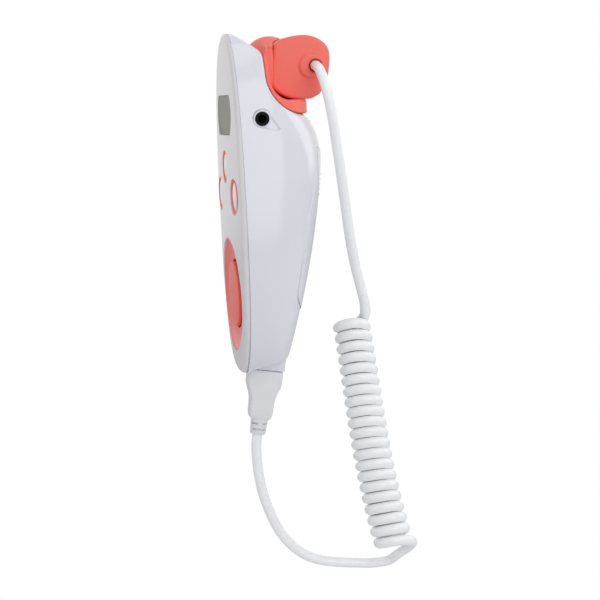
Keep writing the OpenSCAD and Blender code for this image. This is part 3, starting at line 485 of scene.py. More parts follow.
def end_tree(tree, geometry, mat):
    """Makes instances real, gives them their finish and hands them out."""
    nodes, links = tree.nodes, tree.links
    real, paint = nodes.new("GeometryNodeRealizeInstances"), nodes.new("GeometryNodeSetMaterial")
    paint.inputs["Material"].default_value = mat
    links.new(geometry, real.inputs["Geometry"])
    links.new(real.outputs["Geometry"], paint.inputs["Geometry"])
    links.new(paint.outputs["Geometry"], nodes.new("NodeGroupOutput").inputs["Geometry"])

# %% The sweep tree
def sweep_tree(mat):
    tree, inside, inputs = start_tree("lead sweep", {"Radius": "Float", "Sides": "Int"})
    nodes, links = tree.nodes, tree.links
    circle = nodes.new("GeometryNodeCurvePrimitiveCircle")
    sweep = nodes.new("GeometryNodeCurveToMesh")
    sweep.inputs["Fill Caps"].default_value = True
    thickness = nodes.new("GeometryNodeInputRadius")
    if "Scale" in sweep.inputs:  # older versions take the line's thickness without being told
        links.new(thickness.outputs["Radius"], sweep.inputs["Scale"])
    smooth = nodes.new("GeometryNodeSetShadeSmooth")
    links.new(inside.outputs["Radius"], circle.inputs["Radius"])
    links.new(inside.outputs["Sides"], circle.inputs["Resolution"])
    links.new(inside.outputs["Geometry"], sweep.inputs["Curve"])
    links.new(circle.outputs["Curve"], sweep.inputs["Profile Curve"])
    links.new(sweep.outputs["Mesh"], smooth.inputs["Geometry"])
    end_tree(tree, smooth.outputs["Geometry"], mat)
    return tree, inputs


lead_tree, lead_inputs = sweep_tree(lead_white)


def swept(name, path, diameter, sides=20, swell=None):
    """Sweeps a circle along a path; swell may give a factor on its radius for each point."""
    curve = bpy.data.curves.new(name + "_line", "CURVE")
    curve.dimensions = "3D"
    curve.twist_mode = "MINIMUM"
    spline = curve.splines.new("POLY")
    spline.points.add(len(path) - 1)
    for i, (point, place) in enumerate(zip(spline.points, path)):
        point.co = (*[float(v) * MM for v in place], 1)
        point.radius = swell[i] if swell else 1.0
    line = bpy.data.objects.new(name + "_line", curve)
    bpy.context.scene.collection.objects.link(line)
    modifier = line.modifiers.new("sweep", "NODES")
    modifier.node_group = lead_tree
    modifier[lead_inputs["Radius"]] = diameter / 2 * MM
    modifier[lead_inputs["Sides"]] = sides
    obj = bpy.data.objects.new(name, baked(line))
    bpy.context.scene.collection.objects.link(obj)
    bpy.data.objects.remove(line)
    tidy_normals(obj, WELD)
    soften(obj, 50)
    return obj

# %% [markdown]
# The two plain runs follow a few points that a smooth spline joins. The curl is a formula: its
# axis is a Bezier curve in the middle plane, and the cord goes round that axis as it moves along.
# Its first turn comes in from the straight run above, and its last turn opens towards the run below.

# %% Paths of the lead
def spline_through(points, per_span=10):
    """A centripetal Catmull-Rom curve through the points."""
    p = [np.array(v, float) for v in points]
    p = [2 * p[0] - p[1]] + p + [2 * p[-1] - p[-2]]
    out = []
    for a, b, c, d in zip(p[:-3], p[1:-2], p[2:-1], p[3:]):
        t0, t1 = 0, np.linalg.norm(b - a) ** 0.5
        t2 = t1 + np.linalg.norm(c - b) ** 0.5
        t3 = t2 + np.linalg.norm(d - c) ** 0.5
        for k in range(per_span):
            t = t1 + (t2 - t1) * k / per_span
            ab = (t1 - t) / (t1 - t0) * a + (t - t0) / (t1 - t0) * b
            bc = (t2 - t) / (t2 - t1) * b + (t - t1) / (t2 - t1) * c
            cd = (t3 - t) / (t3 - t2) * c + (t - t2) / (t3 - t2) * d
            abc = (t2 - t) / (t2 - t0) * ab + (t - t0) / (t2 - t0) * bc
            bcd = (t3 - t) / (t3 - t1) * bc + (t - t1) / (t3 - t1) * cd
            out.append((t2 - t) / (t2 - t1) * abc + (t - t1) / (t2 - t1) * bcd)
    out.append(p[-2])
    return out


def path_length(path):
    return float(sum(np.linalg.norm(np.array(b) - np.array(a)) for a, b in zip(path[:-1], path[1:])))

# %% The axis of the curl
CORD_D, COIL_D, CURLS = 4.4, 16.6, 21
COIL_GROWS, TURN_LEAN, LEAN_FALLS = 0.5, 0.45, 0.15
coil_r = (COIL_D - CORD_D) / 2
axis_points = np.array([[49.8, -54.8], [54.2, -89.5], [55.5, -120.4], [64.5, -156.7]])


def axis_at(t):
    u = 1 - t
    return (u ** 3 * axis_points[0] + 3 * u * u * t * axis_points[1]
            + 3 * u * t * t * axis_points[2] + t ** 3 * axis_points[3])


def axis_along(t):
    u = 1 - t
    d = (u * u * (axis_points[1] - axis_points[0]) + 2 * u * t * (axis_points[2] - axis_points[1])
         + t * t * (axis_points[3] - axis_points[2]))
    return d / np.linalg.norm(d)


def beside(t, angle, r, drop, lean=TURN_LEAN):
    """A point beside the axis. The turns hang askew, higher on the side that faces the camera."""
    c, d = axis_at(t), axis_along(t)
    out = np.array([-d[1], d[0]])
    x = r * math.cos(math.radians(angle))
    p = c + out * r * math.sin(math.radians(angle)) + d * (drop - lean * x)
    return np.array([x, p[0], p[1]])

# %% Its turns and its ends
FIRST_A, LEAD_IN_A, END_SHORT = 150, 115, 30
TAIL_WIDE, TAIL_DROP, TAIL_UPRIGHT = 2, 5, 0.6
TURN_STEPS, TAIL_STEPS = 24, 12
last_a = 360 * CURLS - END_SHORT
tail_a = 180


def turn_point(a):
    t = (a - FIRST_A) / (last_a - FIRST_A)
    return beside(t, a, coil_r + COIL_GROWS * t, 0, TURN_LEAN - LEAN_FALLS * t)


pitch = float(np.linalg.norm(turn_point(11 * 360) - turn_point(10 * 360)))


def tail_point(v):
    """The last half turn, which opens out, drops and comes upright as v goes from 0 to 1."""
    r = coil_r + COIL_GROWS + TAIL_WIDE * v * v * (3 - 2 * v)
    drop = pitch * tail_a / 360 * v + TAIL_DROP * v * v
    return beside(1, last_a + tail_a * v, r, drop, (TURN_LEAN - LEAN_FALLS) * (1 - TAIL_UPRIGHT * v * v))


def unit(v):
    return v / np.linalg.norm(v)


coil_entry = spline_through([(5.3, 54.6, -42.2), (4.2, 55.5, -45.6), (2.8, 56.1, -48.9), (0.8, 56.3, -52),
                             turn_point(LEAD_IN_A), turn_point(FIRST_A)], 6)
coil_out = unit(tail_point(1) - tail_point(0.98))
turn_steps = TURN_STEPS * (CURLS - 1)
coil_path = (coil_entry[:-1]
             + [turn_point(FIRST_A + (last_a - FIRST_A) * i / turn_steps) for i in range(turn_steps + 1)]
             + [tail_point(i / TAIL_STEPS) for i in range(1, TAIL_STEPS + 1)]
             + [tail_point(1) + coil_out * CORD_D])
coil_start, coil_end = coil_path[0], coil_path[-1]

# %% The plain runs, from the probe and to the plug
PLUG_Y, PLUG_Z, PLUG_LEAN = 9.9, -73.6, math.radians(10)
RELIEF_END = -29.2


def plug_point(h):
    """A point of the plug's axis, h above the socket's mouth."""
    return np.array([0, PLUG_Y + h * math.sin(PLUG_LEAN), PLUG_Z + h * math.cos(PLUG_LEAN)])


upper_points = [(14.5, 36.2, 59), (19, 36.2, 59), (23.5, 36.4, 57.8), (27.5, 37, 54.6), (30, 37.8, 50),
                (31, 38.8, 44.4), (30.8, 39.8, 38), (29.8, 40.8, 31.2), (27.8, 42.1, 22), (24.8, 43.7, 11.8),
                (21.2, 45.4, 1.2), (17, 47.2, -10), (12.6, 49.2, -20.4), (8.8, 51.2, -29), (6.9, 53, -36),
                tuple(coil_start)]
lower_points = [tuple(coil_end), tuple(coil_end + coil_out * CORD_D),
                (-7.4, 55.4, -168.2), (-6.6, 48, -167.2), (-5.4, 40.4, -165.9), (-4.2, 33, -164.2),
                (-3.2, 26.4, -161.6), (-2.4, 20.4, -157.4), (-1.6, 15.6, -152.2), (-0.8, 11.6, -145.8),
                (0, 8.6, -138.8), (0, 6.2, -131.2), (0, 4.7, -123.2), (0, 4, -115.2),
                tuple(plug_point(RELIEF_END - CORD_D)), tuple(plug_point(RELIEF_END))]
upper_path = spline_through(upper_points, 6)
lower_path = spline_through(lower_points, 6)
print("lead in mm:", [round(path_length(path)) for path in (upper_path, coil_path, lower_path)])


lead_upper = finish(swept("lead_upper", upper_path, CORD_D), lead_white, None, "cord_upper", slot="cord")
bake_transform(lead_upper)

# A stretched curl looks thicker than the plain cord, so its turns swell a little and almost touch.
COIL_SWELL, SWELL_GROWS, SWELL_STEPS = 0.05, 0.08, 14
count = len(coil_path)
coil_swell = []
for i in range(count):
    near_end = min(1, i / SWELL_STEPS, (count - 1 - i) / SWELL_STEPS)
    coil_swell.append(1 + (COIL_SWELL + SWELL_GROWS * i / count) * near_end)
lead_coil = swept("lead_coil", coil_path, CORD_D, 16, coil_swell)
finish(lead_coil, lead_white, "case", "cord_coil", slot="cord")
lead_lower = finish(swept("lead_lower", lower_path, CORD_D), lead_white, None, "cord_lower", slot="cord")
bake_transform(lead_lower)


# %% [markdown]
# ## The light
# The photograph has a white ground and very soft light from the camera's side, so the front,
# which looks away from it, falls into a gentle grey. Large area lamps give that. The white comes
# from what the camera sees of the world and not from more light.

# %% World and lamps
FILL_COLOUR, FILL_STRENGTH = (0.95, 0.96, 1, 1), 0.5


def make_world():
    """White to the camera, in glass and in shine, and a dim cool fill for everything else."""
    world = bpy.data.worlds.new("white studio")
    bpy.context.scene.world = world
    world.use_nodes = True
    nodes, links = world.node_tree.nodes, world.node_tree.links
    nodes.clear()
    out = nodes.new("ShaderNodeOutputWorld")
    seen, fill = nodes.new("ShaderNodeBackground"), nodes.new("ShaderNodeBackground")
    seen.inputs["Color"].default_value = (1, 1, 1, 1)
    fill.inputs["Color"].default_value = FILL_COLOUR
    fill.inputs["Strength"].default_value = FILL_STRENGTH
    rays = nodes.new("ShaderNodeLightPath")
    shiny = nodes.new("ShaderNodeMath")
    shiny.operation = "MAXIMUM"
    white = nodes.new("ShaderNodeMath")
    white.operation = "MAXIMUM"
    links.new(rays.outputs["Is Glossy Ray"], shiny.inputs[0])
    links.new(rays.outputs["Is Transmission Ray"], shiny.inputs[1])
    links.new(shiny.outputs[0], white.inputs[0])
    links.new(rays.outputs["Is Camera Ray"], white.inputs[1])
    mix = nodes.new("ShaderNodeMixShader")
    links.new(white.outputs[0], mix.inputs["Fac"])
    links.new(fill.outputs["Background"], mix.inputs[1])
    links.new(seen.outputs["Background"], mix.inputs[2])
    links.new(mix.outputs["Shader"], out.inputs["Surface"])


def lamp(name, place, target, size, power):
    """A soft white panel of a size, in metres, that looks at the target."""
    data = bpy.data.lights.new(name, "AREA")
    data.shape = "RECTANGLE"
    data.size, data.size_y = size
    data.energy = power
    obj = bpy.data.objects.new(name, data)
    bpy.context.scene.collection.objects.link(obj)
    obj.location = place
    obj.rotation_euler = (Vector(target) - Vector(place)).to_track_quat("-Z", "Y").to_euler()


make_world()
middle = (0.0, 0.03, -0.04)
lamp("side softbox", (0.75, 0.35, 0.25), middle, (0.6, 0.9), 2.45)
lamp("back softbox", (-0.1, 0.9, 0.3), middle, (0.5, 0.8), 1.3)
lamp("top softbox", (0.1, 0.0, 0.9), middle, (0.6, 0.6), 1.2)
lamp("front softbox", (0.25, -0.9, -0.2), middle, (0.7, 0.9), 1.75)

# %% A pale floor that fades into the white
FLOOR_Z, FLOOR_REACH = -260, 3000
FLOOR_CLEAR = (0.27, 0.36)


def floor_material():
    """Keeps the object's shadow near the middle and turns into plain white further out."""
    mat = bpy.data.materials.new("pale floor")
    mat.use_nodes = True
    nodes, links = mat.node_tree.nodes, mat.node_tree.links
    shader = nodes["Principled BSDF"]
    shader.inputs["Base Color"].default_value = (0.82, 0.82, 0.82, 1)
    shader.inputs["Roughness"].default_value = 0.9
    white, rays, place = (nodes.new(kind) for kind in
                          ("ShaderNodeEmission", "ShaderNodeLightPath", "ShaderNodeTexCoord"))
    away = nodes.new("ShaderNodeVectorMath")
    away.operation = "LENGTH"
    fade = nodes.new("ShaderNodeMapRange")
    fade.interpolation_type = "SMOOTHSTEP"
    fade.inputs["From Min"].default_value = FLOOR_CLEAR[0]
    fade.inputs["From Max"].default_value = FLOOR_CLEAR[1]
    share, mix = nodes.new("ShaderNodeMath"), nodes.new("ShaderNodeMixShader")
    share.operation = "MULTIPLY"
    links.new(place.outputs["Object"], away.inputs[0])
    links.new(away.outputs["Value"], fade.inputs["Value"])
    links.new(fade.outputs["Result"], share.inputs[0])
    links.new(rays.outputs["Is Camera Ray"], share.inputs[1])
    links.new(share.outputs[0], mix.inputs["Fac"])
    links.new(shader.outputs["BSDF"], mix.inputs[1])
    links.new(white.outputs["Emission"], mix.inputs[2])
    links.new(mix.outputs["Shader"], nodes["Material Output"].inputs["Surface"])
    return mat


floor_corners = [(u * FLOOR_REACH, v * FLOOR_REACH, FLOOR_Z)
                 for u, v in ((-1, -1), (1, -1), (1, 1), (-1, 1))]
floor = make_object("studio_floor", floor_corners, [[0, 1, 2, 3]])
floor.data.materials.append(floor_material())

# %% [markdown]
# ## The shape of the case
# Three curves rule the whole case: the oval of the front, the depth of the back at each height,
# and a side view that slants the top, cuts the notch for the probe and lifts the foot. We write
# them once and let every moulded part read them.

# %% Curves of the case
BODY_W, BODY_H = 68.0, 150.0
BACK_DEPTH, BACK_PEAK, FOOT_DEPTH = 38.6, 21.0, 19.5
WALL, CROWN, EDGE_ROLL, SWELL = 2.0, 1.7, 1.7, 0.3
NOTCH_Y, CUP_Z, NOTCH_R, LIP_Y = 13.3, 56.5, 17.0, 32.5
TIP_MID, TIP_HALF = 0.5, BODY_H / 2 - 0.5
OVAL, ROUND, FOOT_POWER, FOOT_AT = 2.4, 2.5, 1.43, -70
SHOULDER_FALL, SHOULDER_POWER, SHOULDER_TO = 0.0105, 2.2, 39
foot_fall = (BACK_DEPTH - FOOT_DEPTH) / (BACK_PEAK - FOOT_AT) ** FOOT_POWER


def half_w(z):
    """Half the width of the case at a height. OVAL makes the front squarer than an ellipse."""
    return BODY_W / 2 * np.maximum(0, 1 - np.abs(z / (BODY_H / 2)) ** OVAL) ** (1 / OVAL)


def depth(z):
    """How far the back reaches at a height, most at BACK_PEAK."""
    low = BACK_DEPTH - foot_fall * np.maximum(BACK_PEAK - z, 0) ** FOOT_POWER
    above_peak = np.maximum(np.minimum(z, SHOULDER_TO) - BACK_PEAK, 0)
    high = BACK_DEPTH - SHOULDER_FALL * above_peak ** SHOULDER_POWER
    return np.where(z < BACK_PEAK, low, high)


def case_raw(x, y, z):
    w = np.maximum(half_w(z), 0.6)
    d = depth(z)
    r = ((np.abs(x) / w) ** ROUND + (np.maximum(y, 0) / d) ** ROUND) ** (1 / ROUND)
    return (r - 1) * np.minimum(w, d)


def tip(z):
    """Distance past the flat cut that ends the shell at its top and foot."""
    return np.abs(z - TIP_MID) - TIP_HALF


def back_y(x, z):
    """Depth of the back's surface at a point of the front view."""
    return float(depth(z) * (1 - (abs(x) / half_w(z)) ** ROUND) ** (1 / ROUND))


case_skin = as_distance(case_raw)
print("half width at the keys", round(float(half_w(5.0)), 2), "depth there", round(float(depth(5.0)), 2))

# %% The side view
def arc(cx, cy, r, a0, a1, steps):
    return [(cx + r * math.cos(math.radians(a0 + (a1 - a0) * i / steps)),
             cy + r * math.sin(math.radians(a0 + (a1 - a0) * i / steps))) for i in range(steps + 1)]


SLANT_FALL, SLANT_TOP, SHOULDER_R = 0.85, BODY_H / 2 + 1.9, 5.0
shoulder_y = NOTCH_Y - SHOULDER_R
shoulder_z = SLANT_TOP - SLANT_FALL * shoulder_y - SHOULDER_R * math.sqrt(1 + SLANT_FALL ** 2)
notch_y, notch_z = NOTCH_Y + NOTCH_R, CUP_Z - 0.5
IN_FRONT, BEHIND = -12, notch_y + 16  # clear of the case on both sides
foot_z = -BODY_H / 2
side_view = ([(IN_FRONT, SLANT_TOP - IN_FRONT * SLANT_FALL)]
             + arc(shoulder_y, shoulder_z, SHOULDER_R, math.degrees(math.atan2(1, SLANT_FALL)), 0, 12)
             + arc(notch_y, notch_z, NOTCH_R, 180, 270, 36)
             + [(BEHIND, notch_z - NOTCH_R - 8), (BEHIND, -60), (FOOT_DEPTH, foot_z + 6.4),
                (2.6, foot_z + 3), (1, foot_z - 0.2), (IN_FRONT, foot_z - 0.2)])
side_distance = outline_distance(side_view)


def edge_round(y):
    """The fillet along the notch and the slant, tight at the seam, where the two shells are flush."""
    return 0.3 + 1.3 * np.clip((y - 0.6) / 6, 0, 1)

# %% [markdown]
# ## The back shell
# The shell is that shape with a hollow inside and a scoop round the headphone jack. Its front edge
# is cut flat a little behind the front panel, which leaves the dark line that shows where two
# mouldings meet. The battery opening is cut at the end with a boolean, because its edge is crisp.

# %% Carve the back shell
JACK_Y, JACK_Z = 9.8, 37.6
jack_face_x = float(half_w(JACK_Z) * (1 - (JACK_Y / depth(JACK_Z)) ** ROUND) ** (1 / ROUND))
SCOOP_FROM, SCOOP_TO = np.array([JACK_Y, JACK_Z]), np.array([JACK_Y + 6.8, JACK_Z - 4.6])
SCOOP_R0, SCOOP_R1, SCOOP_DEEP = 4.0, 0.7, 0.85


def scoop(y, z):
    """A drop-shaped outline in the side view, round at the jack and narrow at its tail."""
    along = SCOOP_TO - SCOOP_FROM
    t = np.clip(((y - SCOOP_FROM[0]) * along[0] + (z - SCOOP_FROM[1]) * along[1]) / (along @ along), 0, 1)
    gap = np.sqrt((y - SCOOP_FROM[0] - t * along[0]) ** 2 + (z - SCOOP_FROM[1] - t * along[1]) ** 2)
    return gap - (SCOOP_R0 + (SCOOP_R1 - SCOOP_R0) * t)


def shell_field(x, y, z):
    skin = case_skin(x, y, z)
    side = side_distance(y, z)
    outside = soft_max(soft_max(skin, side, edge_round(y)), tip(z), 0.3)
    hole = soft_max(scoop(y, z), -(skin + SCOOP_DEEP), 0.5)
    right_side = np.where(x > 0, hole, 50)
    outside = soft_max(outside, -right_side, 0.5)
    inside = np.maximum(np.maximum(skin, side) + WALL, tip(z) + WALL)
    return np.maximum(outside, -inside)


back_shell = carve("shell_back", shell_field, (-35, -2.5, -76), (35, 40, 76), 0.75)
print("shell faces", len(back_shell.data.polygons))

# %% Trim its front edge
SEAM = 0.5


def trim_front(obj, y):
    """Cuts a mesh flat at depth y, keeps what is behind, and closes the rim."""
    bm = bmesh.new()
    bm.from_mesh(obj.data)
    whole = bm.verts[:] + bm.edges[:] + bm.faces[:]
    at, forwards = (0, y * MM, 0), (0, -1, 0)
    done = bmesh.ops.bisect_plane(bm, geom=whole, plane_co=at, plane_no=forwards, clear_outer=True)
    rim = [e for e in done["geom_cut"] if isinstance(e, bmesh.types.BMEdge)]
    bmesh.ops.triangle_fill(bm, edges=rim, use_beauty=True, use_dissolve=False, normal=forwards)
    bmesh.ops.recalc_face_normals(bm, faces=bm.faces)
    bm.to_mesh(obj.data)
    bm.free()


trim_front(back_shell, SEAM)

# %% A tongue in the seam
def oval(sides, half_across, half_up):
    """Points (x, z) of the front's oval, to the power that the case has."""
    ring = []
    for k in range(sides):
        c, s = (wave(2 * math.pi * k / sides) for wave in (math.cos, math.sin))
        ring.append((half_across * math.copysign(abs(c) ** (2 / OVAL), c),
                     half_up * math.copysign(abs(s) ** (2 / OVAL), s)))
    return ring


# It fills the seam from inside, so that no light comes through.
TONGUE_OUT, TONGUE_IN, TONGUE_FROM, TONGUE_TO, RIM_SIDES = 0.45, 1.9, 0.03, 1.4, 160
tongue_rings = []
for inset, y in ((TONGUE_OUT, TONGUE_FROM), (TONGUE_IN, TONGUE_FROM), (TONGUE_IN, TONGUE_TO),
                 (TONGUE_OUT, TONGUE_TO), (TONGUE_OUT, TONGUE_FROM)):
    ring = oval(RIM_SIDES, BODY_W / 2 - inset, TIP_HALF - inset)
    tongue_rings.append([(x, y, TIP_MID + z) for x, z in ring])
seam_tongue = make_object("seam_tongue", [p for ring in tongue_rings for p in ring],
                          stack_faces(len(tongue_rings), RIM_SIDES, caps=False))
tidy_normals(seam_tongue, WELD)
soften(seam_tongue, TURNED_EDGE)

# %% [markdown]
# ## The battery door
# The door wraps round the back and covers the cells. It leaves down and outwards, so its edge and
# the opening are both cut along that way, and nothing catches. One outline serves both: the door
# takes it as it is, and the opening takes it a little larger.

# %% The battery opening and its door
DOOR_WAY = math.radians(45)
DOOR_WALL, DOOR_PROUD, DOOR_GAP, DOOR_FROM_Y = 1.6, 0.3, 0.3, 14.0
DOOR_LOW, DOOR_HIGH, DOOR_MARGIN = (-27, 14, -51), (27, 41, 28), 0.8
door_half = [(8, 24), (15.5, 24), (17.6, 22.6), (19.4, 14), (21.6, 4), (23.2, -6), (23.8, -17),
             (23.6, -28), (22.4, -37), (20, -41.5), (14, -45), (7, -46.6)]
door_outline = door_half + [(0, -47)] + [(-x, z) for x, z in door_half[::-1]]


def door_seen(x, z):
    """A point of the outline as seen along the door's way out."""
    return x, math.cos(DOOR_WAY) * back_y(x, z) + math.sin(DOOR_WAY) * z


def door_prism(name, outline):
    """The outline as a solid that runs along the door's way out, and stops before the inner parts."""
    tool = prism(name, [(x, v) for x, v in outline], -80, 2)
    c, s = math.cos(DOOR_WAY), math.sin(DOOR_WAY)
    tool.data.transform(Matrix(((1, 0, 0), (0, -s, c), (0, c, s))).to_4x4())
    tidy_normals(tool)
    room = prism("door_room", [(-60, -140), (60, -140), (60, 140), (-60, 140)], DOOR_FROM_Y, 100)
    return cut(tool, room, "INTERSECT")

# %% Smooth the outline and cut the opening
def smooth_outline(points, per_span=5):
    """Rounds a closed outline with a spline through its points."""
    n = len(points)
    out = []
    for i in range(n):
        a, b, c, d = (np.array(points[(i + k) % n], float) for k in (-1, 0, 1, 2))
        for k in range(per_span):
            t = k / per_span
            straight, bend = c - a, 2 * a - 5 * b + 4 * c - d
            out.append(tuple(0.5 * (2 * b + straight * t + bend * t * t + (3 * b - 3 * c + d - a) * t ** 3)))
    return out


def grow_outline(points, by):
    """Moves each point outwards, across the line between its neighbours."""
    out = []
    n = len(points)
    after = points[1:] + points[:1]
    area = sum(a[0] * b[1] - b[0] * a[1] for a, b in zip(points, after))
    turn = 1 if area > 0 else -1
    for i in range(n):
        a, b, c = (np.array(points[(i + k) % n]) for k in (-1, 0, 1))
        d = (c - a) / max(np.linalg.norm(c - a), 1e-9)
        out.append(tuple(b + by * turn * np.array([d[1], -d[0]])))
    return out


door_line = [door_seen(x, z) for x, z in smooth_outline(door_outline)]
cut(back_shell, door_prism("door_cut", grow_outline(door_line, DOOR_GAP)))

# %% Carve the door
def door_field(x, y, z):
    """The wall of the door. It ends inside the carving box, so that the mesh is closed."""
    skin = case_skin(x, y, z) - DOOR_PROUD
    wall = np.maximum(skin, -(skin + DOOR_WALL))
    along = np.maximum(z - DOOR_HIGH[2], DOOR_LOW[2] - z)
    across = np.maximum(np.abs(x) - DOOR_HIGH[0], DOOR_LOW[1] - y)
    return np.maximum(wall, np.maximum(along, across) + DOOR_MARGIN)


battery_door = carve("battery_door_skin", door_field, DOOR_LOW, DOOR_HIGH, 0.8)
cut(battery_door, door_prism("door_keep", door_line), "INTERSECT")

# %% [markdown]
# Five ribs near the top of the door give a thumb its hold. They are one round bar, repeated in a
# row by Geometry Nodes, which lay it out and give it its finish. We then add them to the door.

# %% Run a tree, and add what it makes to a piece
def tree_mesh(name, tree, inputs, values):
    """Runs a tree on an object made for it, with these values, and keeps only the mesh."""
    obj = make_object(name, [(0, 0, 0)], [])
    modifier = obj.modifiers.new(name, "NODES")
    modifier.node_group = tree
    for label, value in values.items():
        modifier[inputs[label]] = value
    mesh = baked(obj)
    bpy.data.objects.remove(obj)
    return mesh


def add_meshes(obj, *meshes):
    bm = bmesh.new()
    for mesh in (obj.data, *meshes):
        bm.from_mesh(mesh)
    bm.to_mesh(obj.data)
    bm.free()

# %% Finger ribs as a row of bars
def row_tree(mat):
    kinds = {"Count": "Int", "First place": "Vector", "Step": "Vector", "Bar radius": "Float",
             "Bar length": "Float"}
    tree, inside, inputs = start_tree("rib row", kinds)
    nodes, links = tree.nodes, tree.links
    row, bar = nodes.new("GeometryNodeMeshLine"), nodes.new("GeometryNodeMeshCylinder")
    bar.inputs["Vertices"].default_value = 24
    place = nodes.new("GeometryNodeInstanceOnPoints")
    place.inputs["Rotation"].default_value = (0, math.radians(90), 0)
    links.new(inside.outputs["Count"], row.inputs["Count"])
    links.new(inside.outputs["First place"], row.inputs["Start Location"])
    links.new(inside.outputs["Step"], row.inputs["Offset"])
    links.new(inside.outputs["Bar radius"], bar.inputs["Radius"])
    links.new(inside.outputs["Bar length"], bar.inputs["Depth"])
    links.new(row.outputs["Mesh"], place.inputs["Points"])
    links.new(bar.outputs["Mesh"], place.inputs["Instance"])
    end_tree(tree, place.outputs["Instances"], mat)
    return tree, inputs


RIBS, RIB_TOP_Z, RIB_STEP, RIB_R, RIB_L, RIB_SUNK = 5, 12.0, 2.2, 0.6, 14.0, 0.1
rib_low_z = RIB_TOP_Z - RIB_STEP * (RIBS - 1)
rib_y = [back_y(RIB_L / 2, z) + DOOR_PROUD - RIB_SUNK for z in (RIB_TOP_Z, rib_low_z)]
ribs = tree_mesh("finger_ribs", *row_tree(shell_white), {
    "Count": RIBS, "First place": (0, rib_y[0] * MM, RIB_TOP_Z * MM),
    "Step": (0, (rib_y[1] - rib_y[0]) / (RIBS - 1) * MM, -RIB_STEP * MM),
    "Bar radius": RIB_R * MM, "Bar length": RIB_L * MM})
add_meshes(battery_door, ribs)
print("door faces", len(battery_door.data.polygons))

# %% [markdown]
# ## The front
# The front is a shallow crown with a rolled edge. It is made of rings that shrink towards the
# middle, each at its own height, inside and outside, so that it is a closed 2 mm moulding. The
# openings for the window, the keys and the dish are cut through it.

# %% Build the front
ROLL_FROM, FRONT_SIDES = 0.95, 240


def face_height(rho):
    """Height of the crown at a share of the way out from the middle."""
    rolled = max(0.0, (rho - ROLL_FROM) / (1 - ROLL_FROM))
    return -CROWN * (1 - rho * rho) - EDGE_ROLL * math.sqrt(max(0.0, 1 - rolled ** 2))


def fuller(z):
    """The crown is fuller towards the foot."""
    return 1 - SWELL * z / (BODY_H / 2)


def face_y(x, z):
    rho = ((abs(x) / (BODY_W / 2)) ** OVAL + (abs(z) / (BODY_H / 2)) ** OVAL) ** (1 / OVAL)
    return face_height(min(rho, 1)) * fuller(z)


def front_ring(rho, inset):
    sx, sz = 1 - inset / (BODY_W / 2), 1 - inset / (BODY_H / 2)
    ring = []
    for across, up in oval(FRONT_SIDES, BODY_W / 2, TIP_HALF):
        x, z = across * rho, (TIP_MID + up) * rho
        ring.append((x * sx, min(0.0, face_height(rho) * fuller(z) + inset), z * sz))
    return ring


roll_steps = [1, 0.9985, 0.995, 0.99, 0.983, 0.975, 0.965, 0.957, 0.95, 0.94]
ring_steps = roll_steps + [0.92 - 0.04 * k for k in range(23)]
stack = [front_ring(r, WALL) for r in ring_steps[::-1]] + [front_ring(r, 0) for r in ring_steps]
front_points = [p for ring in stack for p in ring]
front_points += [(0, face_height(0) + WALL, 0), (0, face_height(0), 0)]
front_faces = stack_faces(len(stack), FRONT_SIDES, caps=False)
for k in range(FRONT_SIDES):
    n = (k + 1) % FRONT_SIDES
    last = (len(stack) - 1) * FRONT_SIDES
    front_faces += [[len(front_points) - 2, n, k], [len(front_points) - 1, last + k, last + n]]
front_panel = make_object("front_moulding", front_points, front_faces)
tidy_normals(front_panel, 0.002)

# %% Cut its openings
WINDOW_W, WINDOW_H, WINDOW_Z, WINDOW_BOW = 39.6, 17.0, 39.8, 3.8
KEYS = {"top": (0, 17.4, 14.4), "left": (-20, 4.8, 15.6), "right": (20, 4.8, 15.6)}  # x, z, width
DISH_D, DISH_Z, DISH_LIP_Y, CAP_D, SOUND_GAP = 49.8, -38.8, -2.5, 28.9, 0.9
PANEL_GAP, WINDOW_GAP, THROUGH = 0.06, 0.1, (-8, 6)


def window_outline(grow=0.0, corner=1.0):
    """Straight at the top and foot, bowed at the sides, with rounded corners."""
    w, h = WINDOW_W / 2 + grow, WINDOW_H / 2 + grow
    bow = (h * h + WINDOW_BOW ** 2) / (2 * WINDOW_BOW)
    reach = math.degrees(math.asin(h / bow))
    right = arc(w - bow, 0, bow, -reach, reach, 8)
    left = [(-x, -y) for x, y in right]
    loop = right[4:] + left + right[:5]
    corners = [corner if abs(abs(y) - h) < 1e-6 else 0 for x, y in loop]
    return [(x, z + WINDOW_Z) for x, z in rounded(loop, corners, 6)[:-1]]


def drill(obj, x, z, width, sides=128):
    """A round hole through the front, a little wider than what goes in."""
    r = width / 2 + PANEL_GAP
    cut(obj, turned("drill", [(0, THROUGH[0]), (r, THROUGH[0]), (r, THROUGH[1]), (0, THROUGH[1])],
                    (x, 0, z), sides=sides))


cut(front_panel, prism("window_cut", window_outline(WINDOW_GAP), *THROUGH))
for kx, kz, kd in KEYS.values():
    drill(front_panel, kx, kz, kd)
drill(front_panel, 0, DISH_Z, DISH_D, 180)
soften(front_panel, 32)
print("front faces", len(front_panel.data.polygons))

# %% [markdown]
# ## Window, keys and dish
# The window lies a little under the front. Each key is a low white dome in a coral funnel,
# and the dish is a wide coral bowl with a raised disc over the loudspeaker. They are all turned
# profiles with softened corners.

